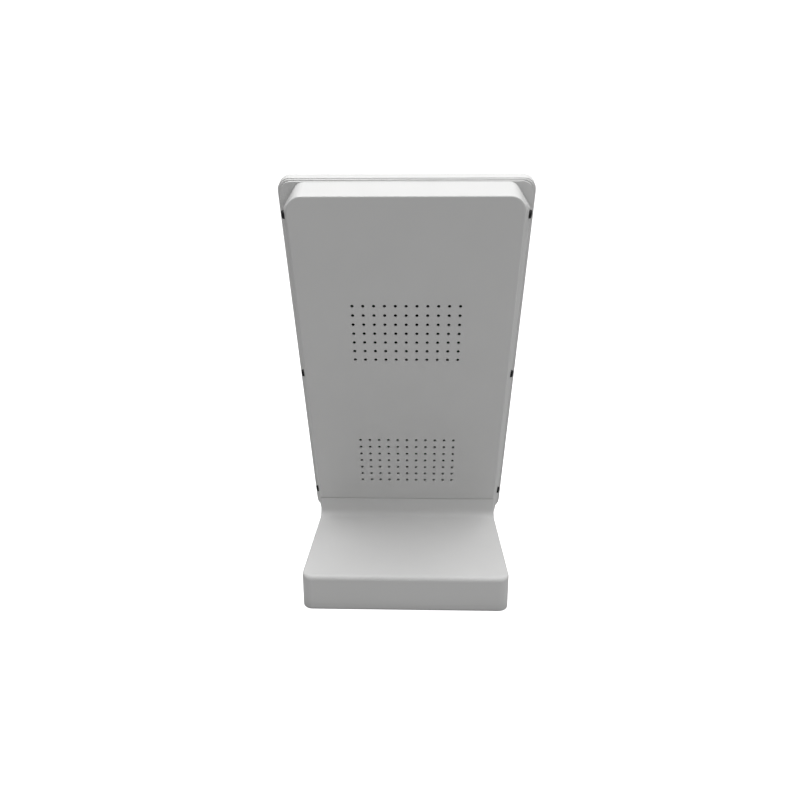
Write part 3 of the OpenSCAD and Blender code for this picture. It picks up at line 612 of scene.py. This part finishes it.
def vent_spots():
    """Middle of every vent hole."""
    wide, high = (VENT_COLS - 1) * VENT_PITCH, (VENT_ROWS - 1) * VENT_PITCH
    for field in VENT_FIELDS:
        for x in ramp(-wide / 2, wide / 2, VENT_COLS - 1):
            for z in ramp(field - high / 2, field + high / 2, VENT_ROWS - 1):
                yield x, z


def joint_spots():
    """Middle and radius of the holes that the foot covers."""
    for x in BOLT_X:
        for z in BOLT_Z:
            yield x, NECK_LINE + z, BOLT_R
            yield -x, NECK_LINE + z, BOLT_R
    yield 0, NECK_LINE + GROMMET_Z, GROMMET_R


def falls_away(point):
    """How far the side wall's surface lies inside its flat part, beside a slanted corner."""
    share = -point.y / COVER_DEEP
    radius = BACK_R + (RIM_R - BACK_R) * share
    over = point.z - (COVER_TOP - BACK_R + (BACK_R - SLANT_H) * share)
    return radius - math.sqrt(radius * radius - over * over) if over > 0 else 0.0


def make_rear_cover():
    """Pressed cover: drafted pan with slanted corners, flange, punched vents and sunk screw seats."""
    bm = bmesh.new()
    lip = 0.12 * MM
    outer_back, outer_top, outer_low = cover_skin(bm, 0, EDGE_R, LEDGE)
    inner_back, inner_top, inner_low = cover_skin(bm, COVER_WALL, 0.4 * MM, LEDGE)
    rear = (0, 1, 0)
    outer_holes, inner_holes = [], []
    for x, z, radius in [(x, z, VENT_R) for x, z in vent_spots()] + list(joint_spots()):
        at = facing(rear, (x, 0, z))
        first = circle(bm, at, radius + lip, 0)
        steps = [(radius, -lip), (radius, -3 * lip), (radius + 0.3 * MM, -COVER_WALL)]
        last = stack(bm, at, steps, HOLE, first)
        outer_holes.append(first)
        inner_holes.append(last)
    fill(bm, outer_back, outer_holes)
    fill(bm, inner_back, inner_holes)

    count = len(outer_low)
    conic = 4          # steps of the corner's bend that the top screw's seat reaches into
    seat_r, cone_r, hole_r = DIMPLE_D / 2, SCREW_D, SCREW_D / 2 + 0.2 * MM
    boss_r, boss_y = seat_r + 1 * MM, -COVER_WALL - 1.2 * MM
    steps = [(seat_r, -0.12 * MM), (seat_r - 0.1 * MM, -DIMPLE_DEEP), (cone_r + 0.1 * MM, -DIMPLE_DEEP),
             (cone_r - 0.05 * MM, -DIMPLE_DEEP - 0.1 * MM), (hole_r, -DIMPLE_DEEP - CONE_H),
             (hole_r, boss_y), (boss_r - 0.3 * MM, boss_y), (boss_r, boss_y + 0.3 * MM),
             (boss_r, -COVER_WALL)]
    outer_walls, inner_walls = [], []
    for side, first in ((1, ARC), (-1, count - 2 - ARC - conic)):
        outer_holes, inner_holes = [], []
        for z in SCREW_Z:
            at = side_screw(side, z)
            before = len(bm.verts)
            mouth = circle(bm, at, seat_r + 0.25 * MM, 0, SEAT)
            inner = stack(bm, at, steps, SEAT, mouth)
            bm.verts.ensure_lookup_table()
            seat = bm.verts[before:before + 2 * SEAT] + inner
            for v in seat:
                v.co.x -= side * falls_away(v.co)
            outer_holes.append(mouth)
            inner_holes.append(inner)
        outer_walls.append((first, first + conic, outer_holes))
        inner_walls.append((first, first + conic, inner_holes))
    slope = LEDGE / (COVER_DEEP - STEP)
    at = facing((0, -slope, -1), (BUTTON_X, BUTTON_Y, COVER_LOW - slope * BUTTON_Y))
    mouth = circle(bm, at, BUTTON_HOLE_R + lip, 0, SEAT)
    steps = [(BUTTON_HOLE_R, -lip), (BUTTON_HOLE_R, lip - COVER_WALL), (BUTTON_HOLE_R + lip, -COVER_WALL)]
    inner = stack(bm, at, steps, SEAT, mouth)
    outer_walls.append((count - 1, count - 1, [mouth]))
    inner_walls.append((count - 1, count - 1, [inner]))
    open_walls(bm, outer_top, outer_low, outer_walls)
    open_walls(bm, inner_top, inner_low, inner_walls)
    flange = flange_row()
    into = inward(flange)
    y_low, y_high = -COVER_DEEP, STEP - COVER_DEEP
    soft = 0.25 * MM
    last = outer_low
    for shrink, y in ((soft, y_high), (soft * 0.3, y_high - soft * 0.3), (0, y_high - soft),
                      (0, y_low + soft), (soft, y_low)):
        new = [bm.verts.new((x + n.x * shrink, y, z + n.y * shrink)) for (x, z), n in zip(flange, into)]
        bridge(bm, last, new)
        last = new
    inner_rim = pan_rows(COVER_WALL)[1]
    front = [bm.verts.new((x, y_low, z)) for x, z in inner_rim]
    bridge(bm, last, front)
    bridge(bm, front, inner_low)
    return piece("rear_cover_skin", bm, coat, matrix=HEAD, replaces=["rear_cover"])


make_rear_cover()


# ---------------------------------------------------------------- cover screws
HEAD_RISE, HEAD_STRAIGHT, HEAD_R_TOP = 2.2 * MM, 0.8 * MM, 2.6 * MM
SCREW_SUNK, SCREW_L, CROSS_DEEP = 0.6 * MM, 8 * MM, 1.3 * MM


def cross(bm, at, reach, width, height):
    """A cross of twelve vertices about a matrix's Z axis."""
    a, b = reach, width
    points = [(a, -b), (a, b), (b, b), (b, a), (-b, a), (-b, b), (-a, b), (-a, -b), (-b, -b), (-b, -a),
              (b, -a), (b, -b)]
    return [bm.verts.new(at @ Vector((x, y, height))) for x, y in points]


def raised_screw(bm, at):
    """A domed cross-recess screw. The matrix's origin is on the wall and its Z points out."""
    head_r, shank_r = SCREW_D - 0.2 * MM, SCREW_D / 2 - 0.05 * MM
    crown = []
    for t in ramp(0, math.pi / 2, 8):
        crown.append((HEAD_R_TOP * 0.86 + (head_r - HEAD_R_TOP * 0.86) * math.sin(t),
                      HEAD_STRAIGHT + (HEAD_RISE - HEAD_STRAIGHT) * math.cos(t)))
    rim = circle(bm, at, *crown[0], 32)
    top = cross(bm, at, HEAD_R_TOP * 0.74, 0.5 * MM, HEAD_RISE)
    floor = cross(bm, at, HEAD_R_TOP * 0.5, 0.36 * MM, HEAD_RISE - CROSS_DEEP)
    fill(bm, rim, [top])
    bridge(bm, top, floor)
    fill(bm, floor)
    steps = crown[1:] + [(head_r, 0.1 * MM - SCREW_SUNK), (head_r - 0.1 * MM, -SCREW_SUNK),
                         (shank_r, -SCREW_SUNK - CONE_H + 0.1 * MM)]
    z, end = steps[-1][1], -SCREW_L - SCREW_SUNK
    turns = int((z - end) / (0.7 * MM))
    for i in range(turns):
        crest = z + (end - z) * (i + 0.35) / turns
        steps += [(shank_r, crest), (shank_r * 0.86, crest - 0.25 * MM)]
    last = stack(bm, at, steps + [(shank_r * 0.7, end)], 32, rim)
    bm.faces.new(last)


def make_cover_screws():
    bm = bmesh.new()
    for side in (1, -1):
        for k, z in enumerate(SCREW_Z):
            raised_screw(bm, side_screw(side, z) @ Matrix.Rotation(0.5 * k + 0.3 * side, 4, "Z"))
    return piece("cover_screw_set", bm, black_steel, matrix=HEAD, replaces=["cover_screws"],
                 smooth=40)


make_cover_screws()


# ---------------------------------------------------------------- mid frame, bezel, tape and glass
frame_lo, frame_hi = head_box("mid_frame")
bezel_lo, bezel_hi = head_box("front_bezel")
glass_lo, glass_hi = head_box("cover_glass")
tape_lo, tape_hi = head_box("glass_tape")
panel_lo, panel_hi = head_box("display_panel")
HEAD_R = 11.5 * MM
GROOVE_IN, RIM_T = 2.5 * MM, 2 * MM
GAP = 0.3 * MM
OPEN = 0.8 * MM               # how far the frame's opening stands off the display panel
BEZEL_WALL, LEDGE_W, LEDGE_T = 3 * MM, 6 * MM, 2.2 * MM
GLASS_R, WINDOW_R = 6 * MM, 2 * MM
Y_RIM = -COVER_DEEP
Y_GROOVE = Y_RIM - RIM_T
Y_BEZEL = bezel_hi.y
Y_FRONT = bezel_lo.y
Y_LEDGE = tape_hi.y


def make_mid_frame():
    """Sheet frame with a shadow groove, and the six threaded tabs of the cover screws."""
    bm = bmesh.new()
    half, low, high, corner = frame_hi.x, frame_lo.z, frame_hi.z, HEAD_R - 0.5 * MM
    inner = (panel_hi.x + OPEN, panel_lo.z - OPEN, panel_hi.z + OPEN, 0.6 * MM)
    groove = (half - GROOVE_IN, low + GROOVE_IN, high - GROOVE_IN, corner - GROOVE_IN)
    outer = (half, low, high, corner)
    profile = [(*inner, Y_RIM), (*outer, Y_RIM), (*outer, Y_GROOVE), (*groove, Y_GROOVE),
               (*groove, Y_BEZEL), (*inner, Y_BEZEL)]
    loft(bm, rounded(profile, 0.3 * MM))
    tab_t, tab_in = 3 * MM, 4.1 * MM
    rear, front, below, above = 7 * MM, 10.8 * MM, 10 * MM, 4 * MM
    for side in (1, -1):
        for z in SCREW_Z:
            at = side_screw(side, z)
            along = at.inverted().to_3x3() @ Vector((0, 0, 1))
            forward = at.inverted().to_3x3() @ Vector((side * math.sin(draft), -math.cos(draft), 0))
            corners = [(-rear, -below), (front, -below), (front, above), (-rear, above)]
            rows = []
            for height in (-tab_in, -tab_in - tab_t):
                rows.append([bm.verts.new(at @ (forward * a + along * b + Vector((0, 0, height))))
                             for a, b in corners])
            holes = [circle(bm, at, SCREW_D / 2 + 0.02 * MM, h) for h in (-tab_in, -tab_in - tab_t)]
            bridge(bm, *rows)
            bridge(bm, *holes)
            for row, hole in zip(rows, holes):
                fill(bm, row, [hole])
    return piece("mid_frame_sheet", bm, coat, matrix=HEAD, replaces=["mid_frame"])


def make_bezel():
    """Moulded front: rounded rim, seat for the glass, ledge, and the screw bosses behind it."""
    bm = bmesh.new()
    outer = (bezel_hi.x, bezel_lo.z, bezel_hi.z, HEAD_R)
    seat = (glass_hi.x + GAP, glass_lo.z - GAP, glass_hi.z + GAP, GLASS_R + GAP)
    window = (glass_hi.x - LEDGE_W, glass_lo.z + LEDGE_W, glass_hi.z - LEDGE_W, WINDOW_R)
    hollow = (outer[0] - BEZEL_WALL, outer[1] + BEZEL_WALL, outer[2] - BEZEL_WALL, HEAD_R - BEZEL_WALL)
    y_behind = Y_LEDGE + LEDGE_T
    front_r = 1.0 * MM

    rear_r = 0.5 * MM

    def rim(cut, y):
        return outer[0] - cut, outer[1] + cut, outer[2] - cut, HEAD_R - cut, y

    edge = [rim(front_r * (1 - math.cos(t)), Y_FRONT + front_r * (1 - math.sin(t)))
            for t in ramp(0, math.pi / 2, 6)]
    back = [rim(rear_r * (1 - math.sin(t)), Y_BEZEL - rear_r * (1 - math.cos(t)))
            for t in ramp(0, math.pi / 2, 4)]
    body = rounded([(*seat, Y_FRONT), (*seat, Y_LEDGE), (*window, Y_LEDGE), (*window, y_behind),
                    (*hollow, y_behind), (*hollow, Y_BEZEL)], 0.25 * MM)
    loft(bm, back + edge + body)
    boss_x = ((panel_hi.x + OPEN + bezel_hi.x - BEZEL_WALL) / 2) - 1.3 * MM
    boss_low = COVER_LOW + 22 * MM
    boss_high = COVER_TOP - 46 * MM
    for side in (1, -1):
        for z in ramp(boss_low, boss_high, 4):
            at = facing((0, 1, 0), (side * boss_x, 0, z))
            first = circle(bm, at, 1.3 * MM, Y_BEZEL)
            last = stack(bm, at, [(2.9 * MM, Y_BEZEL), (3.2 * MM, Y_BEZEL - 0.3 * MM), (3.2 * MM, y_behind),
                                  (1.3 * MM, y_behind)], HOLE, first)
            bridge(bm, last, first)
    return piece("front_bezel_moulding", bm, plastic, matrix=HEAD, replaces=["front_bezel"])


def make_tape():
    """Foam tape: a soft-edged ring between the glass and its ledge."""
    bm = bmesh.new()
    outer = (tape_hi.x - 0.1 * MM, tape_lo.z + 0.1 * MM, tape_hi.z - 0.1 * MM, GLASS_R)
    inner = (tape_hi.x - LEDGE_W, tape_lo.z + LEDGE_W, tape_hi.z - LEDGE_W, WINDOW_R)
    profile = [(*outer, tape_hi.y), (*outer, tape_lo.y), (*inner, tape_lo.y), (*inner, tape_hi.y)]
    loft(bm, rounded(profile, 0.15 * MM))
    return piece("glass_tape_ring", bm, foam, matrix=HEAD, replaces=["glass_tape"])


PICTURE_EDGE = 3.8 * MM
LENS_Z = (glass_hi.z - LEDGE_W + bezel_hi.z - 28 * MM) / 2 + 1 * MM


def make_glass():
    """Cover glass with ground edges. Its back carries a black print around the picture and the lens."""
    bm = bmesh.new()
    chamfer = 0.45 * MM
    half, low, high = glass_hi.x, glass_lo.z, glass_hi.z

    def at(cut, y):
        return (half - cut, low + cut, high - cut, GLASS_R - cut, y)

    y0, y1 = glass_lo.y, glass_hi.y
    rings = loft(bm, [at(chamfer, y0), at(chamfer * 0.3, y0 + chamfer * 0.4), at(0, y0 + chamfer),
                      at(0, y1 - chamfer), at(chamfer, y1)], closed=False)
    bm.faces.new(rings[0])
    picture = (panel_hi.x - PICTURE_EDGE, panel_lo.z + PICTURE_EDGE, panel_hi.z - PICTURE_EDGE)
    window = ring(bm, outline(*picture, 0.8 * MM), y1)
    lens = circle(bm, facing((0, 1, 0), (0, y1, LENS_Z)), 3.2 * MM, 0)
    clear = set(bm.faces)
    fill(bm, rings[-1], [window, lens])
    printed = set(bm.faces) - clear
    bm.faces.new(window)
    bm.faces.new(lens)
    for face in printed:
        face.material_index = 1
    return piece("cover_glass_pane", bm, [glass, print_black], matrix=HEAD, replaces=["cover_glass"])


make_mid_frame()
make_bezel()
make_tape()
make_glass()


# ---------------------------------------------------------------- foot
foot_lo, foot_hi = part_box("foot_shell")
FOOT_HALF = foot_hi.x
FOOT_WALL = 2.5 * MM
FOOT_R = 10 * MM
FOOT_TOP, TOE_TOP = 38 * MM, 12 * MM
REAR_EDGE_R, SIDE_EDGE_R, TOE_EDGE_R, LOWER_EDGE_R = 4.5 * MM, 1.5 * MM, 2.5 * MM, 2.2 * MM
NECK_FILLET = 8 * MM
RISER = 0.5 * MM
TIP = 0.6 * MM
NECK = HEAD @ Vector((0, 0, NECK_LINE))


def face_y(z, off):
    """World Y of a plane parallel to the head's back, off behind it, at a world height."""
    return NECK.y + (z - NECK.z) * math.tan(lean) + off / math.cos(lean)


def side_path(inset):
    """The top surface seen from the side, rear to front, as (y, z, normal y, normal z, side radius)."""
    grow = max(SIDE_EDGE_R - inset, 0.3 * MM)
    top, toe = FOOT_TOP - inset, TOE_TOP - inset
    riser = NECK.y + RISER - inset
    fillet = NECK_FILLET + inset
    off = GAP + inset
    rear = foot_hi.y - FOOT_R
    front = foot_lo.y + FOOT_R
    tip = NECK.z - TIP
    if inset > 0:
        tip = NECK.z + (riser - NECK.y - off / math.cos(lean)) / math.tan(lean) - 0.5 * MM
    thin = 0.12 * MM
    path = [(rear, top, 0, 1, grow)]
    for a in ramp(0, math.pi / 2, ARC):
        path.append((riser + fillet - fillet * math.sin(a), top + fillet - fillet * math.cos(a),
                     math.sin(a), math.cos(a), grow))
    path.append((riser, tip - thin, 1, 0, thin))
    path.append((riser - thin * 0.3, tip - thin * 0.3, 0.7, 0.7, thin))
    path.append((face_y(tip, off), tip, 0, 1, thin))
    slope = (-math.cos(lean), math.sin(lean))
    path.append((face_y(tip - thin, off), tip - thin, *slope, thin))
    lift = 1.2 * MM
    path.append((face_y(toe + lift, off), toe + lift, *slope, grow))
    corner = face_y(toe, off)
    between = Vector((slope[0], slope[1] + 1)).normalized()
    path.append((corner - lift * 0.2, toe + lift * 0.25, *between, grow))
    path.append((corner - lift * 1.2, toe, 0, 1, grow))
    path.append((front, toe, 0, 1, grow))
    return path


def foot_skin(bm, inset):
    """One skin of the foot. Returns its lower border on the right, rear to front."""
    half = FOOT_HALF - inset
    corner = FOOT_R - inset
    floor = foot_lo.z
    low_r = LOWER_EDGE_R if inset == 0 else 0.0
    stations = []

    def plan_station(x, y, n, top, radius):
        """A column over a point of the plan's outline, n its outward normal."""
        rows = []
        for t in ramp(0, math.pi / 2, BEND):
            out = radius * (math.sin(t) - 1)
            rows.append(Vector((x + n[0] * out, y + n[1] * out, top - radius * (1 - math.cos(t)))))
        for t in ramp(0, math.pi / 2, BEND):
            out = -low_r * (1 - math.cos(t))
            rows.append(Vector((x + n[0] * out, y + n[1] * out, floor + low_r * (1 - math.sin(t)))))
        return rows

    rear_y, front_y = foot_hi.y - inset, foot_lo.y + inset
    side_r = max(SIDE_EDGE_R - inset, 0.3 * MM)
    rear_r = max(REAR_EDGE_R - inset, 0.3 * MM)
    toe_r = max(TOE_EDGE_R - inset, 0.3 * MM)
    for a in ramp(0, math.pi / 2, ARC):
        n = (math.sin(a), math.cos(a))
        share = math.sin(a) ** 2
        stations.append(plan_station(half - corner + corner * n[0], rear_y - corner + corner * n[1], n,
                                     FOOT_TOP - inset, rear_r + (side_r - rear_r) * share))
    path = side_path(inset)
    side = []
    for y, z, ny, nz, r in path[1:-1]:
        column = []
        for t in ramp(0, math.pi / 2, BEND):
            sunk = r * (1 - math.cos(t))
            column.append(Vector((half - r + r * math.sin(t), y - ny * sunk, z - nz * sunk)))
        side.append(column)
    front = []
    for a in ramp(0, math.pi / 2, ARC):
        n = (math.cos(a), -math.sin(a))
        share = math.cos(a) ** 2
        front.append(plan_station(half - corner + corner * n[0], front_y + corner + corner * n[1], n,
                                  TOE_TOP - inset, toe_r + (side_r - toe_r) * share))
    lower = []
    for sign in (1, -1):
        def make(rows):
            return [bm.verts.new((sign * v.x, v.y, v.z)) for v in rows]
        rear_cols = [make(s) for s in stations]
        side_cols = [make(s) for s in side]
        front_cols = [make(s) for s in front]
        for cols in (rear_cols, front_cols):
            for a, b in zip(cols, cols[1:]):
                bridge(bm, a, b, closed=False)
        count = BEND + 1
        joined = [rear_cols[-1][:count], *side_cols, front_cols[0][:count]]
        for a, b in zip(joined, joined[1:]):
            bridge(bm, a, b, closed=False)
        wall = [c[count - 1] for c in joined]
        fill(bm, wall + [front_cols[0][count], rear_cols[-1][count]])
        bridge(bm, rear_cols[-1][count:], front_cols[0][count:], closed=False)
        lower.append((rear_cols, side_cols, front_cols))
    right, left = lower
    tops = [[column[0] for columns in part for column in columns] for part in (right, left)]
    bridge(bm, tops[0], tops[1], closed=False)
    bridge(bm, right[0][0], left[0][0], closed=False)
    bridge(bm, right[2][-1], left[2][-1], closed=False)
    return [[c[-1] for c in part[0]] + [c[-1] for c in part[2]] for part in (right, left)]


def make_foot():
    """The foot: a low rounded plate behind, a riser up to the head and a toe in front."""
    bm = bmesh.new()
    outer = foot_skin(bm, 0)
    inner = foot_skin(bm, FOOT_WALL)
    loops = [right + left[::-1] for right, left in (outer, inner)]
    bridge(bm, *loops)
    return piece("foot_moulding", bm, plastic, replaces=["foot_shell"], smooth=35)


make_foot()


# ---------------------------------------------------------------- rubber feet and power button
def make_feet():
    """Four pads with a rounded edge and a shallow suction dish."""
    lo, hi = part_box("rubber_feet")
    radius = 8 * MM
    bm = bmesh.new()
    for x in (lo.x + radius, hi.x - radius):
        for y in (lo.y + radius, hi.y - radius):
            at = Matrix.Translation((x, y, 0))
            lathe(bm, at, [(radius * 0.3, 0.5 * MM), (radius * 0.55, 0.35 * MM), (radius * 0.7, 0.05 * MM),
                           (radius * 0.74, 0), (radius * 0.9, 0), (radius * 0.96, 0.12 * MM),
                           (radius, 0.45 * MM), (radius, hi.z)], 40)
    return piece("rubber_foot_pads", bm, foot_rubber, replaces=["rubber_feet"])


def make_button():
    """Turned button: dished face, chamfered edge, flange and stem."""
    lo, hi = BUTTON
    bm = bmesh.new()
    at = facing((0, 0, 1), (BUTTON_X, BUTTON_Y, lo.z))
    radius, flange = 4.5 * MM, (hi.x - lo.x) / 2
    stem, stem_h, flange_t = 1.7 * MM, 1 * MM, 1.2 * MM
    tall = hi.z - lo.z
    lathe(bm, at, [(radius * 0.2, 0.28 * MM), (radius * 0.5, 0.22 * MM), (radius * 0.72, 0.06 * MM),
                   (radius * 0.82, 0), (radius * 0.9, 0.02 * MM), (radius, 0.4 * MM),
                   (radius, tall - stem_h - flange_t), (flange - 0.2 * MM, tall - stem_h - flange_t),
                   (flange, tall - stem_h - flange_t + 0.2 * MM), (flange, tall - stem_h - 0.2 * MM),
                   (flange - 0.2 * MM, tall - stem_h), (stem, tall - stem_h), (stem, tall - 0.2 * MM),
                   (stem - 0.2 * MM, tall)], 48)
    return piece("power_button_cap", bm, button_metal, body="button", matrix=HEAD,
                 replaces=["power_button"])


make_feet()
make_button()


# ---------------------------------------------------------------- inner parts that keep their CAD shape
CAD_FINISH = {
    "display_panel": display, "panel_rails": zinc, "panel_ribbon": ribbon, "chassis_plate": zinc,
    "bezel_screws": zinc, "head_anchor": zinc, "main_board": board_green, "main_board_standoffs": zinc,
    "main_board_screws": zinc, "main_board_chips": chip_black, "main_board_sockets": nylon,
    "heat_sink": fin_black, "power_board": board_green, "power_board_standoffs": zinc,
    "power_board_screws": zinc, "power_board_parts": chip_black, "speaker_left": black_plastic,
    "speaker_right": black_plastic, "touch_board": board_green, "camera_module": black_plastic,
    "code_scanner": black_plastic, "card_reader": reader_blue, "button_bracket": zinc,
    "button_switch": black_plastic, "link_cable": sheath, "cable_grommet": foot_rubber,
    "neck_bracket": zinc, "neck_bolts": zinc, "bracket_screws": zinc, "floor_plate": zinc,
    "floor_screws": zinc, "ballast_block": steel, "ballast_screws": zinc, "cable_bay": black_plastic,
    "jack_board": board_green, "jack_board_pillars": zinc, "jack_board_screws": zinc,
    "cable_header": nylon, "power_inlet": black_plastic, "network_jack": shield, "usb_jack": shield,
}

for name, finish in CAD_FINISH.items():
    part = NODES[name]
    part.data.materials.clear()
    part.data.materials.append(finish)
    part.data.polygons.foreach_set("material_index", [0] * len(part.data.polygons))

# ---------------------------------------------------------------- stage
FLOOR_SIZE = 40.0


def stage_material(name, color, glow):
    """A matt pale surface with faint unevenness, lifted a little by its own light."""
    f = Finish(name, color, 0.9, Emission_Color=(1, 1, 1, 1), Emission_Strength=glow)
    f.tint(f.spread(f.noise(1.5, 3), 0.4, 0.7, 0.0, 0.3), [c * 0.99 for c in color])
    return f.done()


def make_contact_shade():
    """A dark patch under the foot that the camera doesn't see. It shades the foot's lower edge."""
    lo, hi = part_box("foot_shell")
    reach = 5 * MM
    bm = bmesh.new()
    bmesh.ops.create_grid(bm, x_segments=4, y_segments=4, size=0.5)
    bmesh.ops.scale(bm, verts=bm.verts, vec=(hi.x - lo.x + 2 * reach, hi.y - lo.y + 2 * reach, 1))
    bmesh.ops.translate(bm, verts=bm.verts, vec=((lo.x + hi.x) / 2, (lo.y + hi.y) / 2, -0.5 * MM))
    mesh = bpy.data.meshes.new("contact_shade")
    bm.to_mesh(mesh)
    bm.free()
    mesh.materials.append(stage_material("shade_cloth", (0.08, 0.08, 0.08), 0.0))
    shade = bpy.data.objects.new("contact_shade", mesh)
    shade.visible_camera = False
    shade.visible_glossy = False
    bpy.context.scene.collection.objects.link(shade)
    return shade


def make_stage():
    bm = bmesh.new()
    bmesh.ops.create_grid(bm, x_segments=2, y_segments=2, size=FLOOR_SIZE / 2)
    mesh = bpy.data.meshes.new("floor")
    bm.to_mesh(mesh)
    bm.free()
    mesh.materials.append(stage_material("pale_floor", (0.9, 0.9, 0.9), 1.0))
    floor = bpy.data.objects.new("floor", mesh)
    floor.visible_diffuse = False
    floor.visible_glossy = False
    bpy.context.scene.collection.objects.link(floor)
    bm = bmesh.new()
    bmesh.ops.create_icosphere(bm, subdivisions=5, radius=FLOOR_SIZE / 2.2)
    mesh = bpy.data.meshes.new("backdrop")
    bm.to_mesh(mesh)
    bm.free()
    mesh.materials.append(stage_material("pale_backdrop", (0.9, 0.9, 0.9), 1.0))
    backdrop = bpy.data.objects.new("backdrop", mesh)
    for kind in ("diffuse", "glossy", "transmission", "shadow", "volume_scatter"):
        setattr(backdrop, "visible_" + kind, False)
    bpy.context.scene.collection.objects.link(backdrop)
    make_contact_shade()


def make_world():
    """A dim studio: brighter overhead, darker towards the floor."""
    world = bpy.data.worlds.new("studio")
    world.use_nodes = True
    tree = world.node_tree
    coords = tree.nodes.new("ShaderNodeTexCoord")
    split = tree.nodes.new("ShaderNodeSeparateXYZ")
    curve = tree.nodes.new("ShaderNodeValToRGB")
    tree.links.new(coords.outputs["Generated"], split.inputs[0])
    half = tree.nodes.new("ShaderNodeMapRange")
    half.inputs["From Min"].default_value = -1
    tree.links.new(split.outputs["Z"], half.inputs["Value"])
    tree.links.new(half.outputs["Result"], curve.inputs["Fac"])
    stops = curve.color_ramp.elements
    stops[0].position, stops[1].position = 0.0, 1.0
    stops[0].color = (WORLD_LOW, WORLD_LOW, WORLD_LOW, 1)
    stops[1].color = (WORLD_HIGH, WORLD_HIGH, WORLD_HIGH, 1)
    middle = stops.new(0.5)
    middle.color = (WORLD_MIDDLE, WORLD_MIDDLE, WORLD_MIDDLE, 1)
    tree.links.new(curve.outputs["Color"], tree.nodes["Background"].inputs["Color"])
    bpy.context.scene.world = world


def softbox(name, at, target, size, power):
    """A square area light that points at a target."""
    lamp = bpy.data.lights.new(name, "AREA")
    lamp.shape = "RECTANGLE"
    lamp.size, lamp.size_y = size
    lamp.energy = power
    made = bpy.data.objects.new(name, lamp)
    made.location = at
    made.rotation_mode = "QUATERNION"
    made.rotation_quaternion = (Vector(target) - Vector(at)).to_track_quat("-Z", "Y")
    made.visible_camera = False
    bpy.context.scene.collection.objects.link(made)
    return made


WORLD_LOW, WORLD_MIDDLE, WORLD_HIGH = 0.82, 0.05, 0.69
middle_of_head = (0, 0, 0.2)
softbox("overhead", (0, 0.1, 1.7), middle_of_head, (1.6, 1.2), 15.1)
softbox("upper_left", (1.4, 0.5, 1.3), middle_of_head, (0.9, 0.9), 1)
softbox("upper_right", (-1.4, 0.5, 1.3), middle_of_head, (0.9, 0.9), 5.8)
softbox("front_fill", (0.2, -2.2, 0.9), middle_of_head, (1.4, 1.0), 2.2)
make_stage()
make_world()

# The camera stands behind the terminal, slightly above it and a little to its left
eye = Vector((-9.68, 672.57, 369.43)) * MM
PITCH, YAW, ROLL = math.radians(-15.116), math.radians(1.45), math.radians(-0.075)
lens = bpy.data.cameras.new("camera")
lens.sensor_width = 36
lens.lens = 29.685
lens.clip_start = 0.01
camera = bpy.data.objects.new("camera", lens)
forward = Vector((math.sin(YAW) * math.cos(PITCH), -math.cos(YAW) * math.cos(PITCH), math.sin(PITCH)))
camera.rotation_mode = "QUATERNION"
roll = Matrix.Rotation(ROLL, 4, "Z").to_quaternion()
camera.rotation_quaternion = forward.to_track_quat("-Z", "Y") @ roll
camera.location = eye
bpy.context.scene.collection.objects.link(camera)
bpy.context.scene.camera = camera
bpy.context.scene.view_settings.view_transform = "Standard"
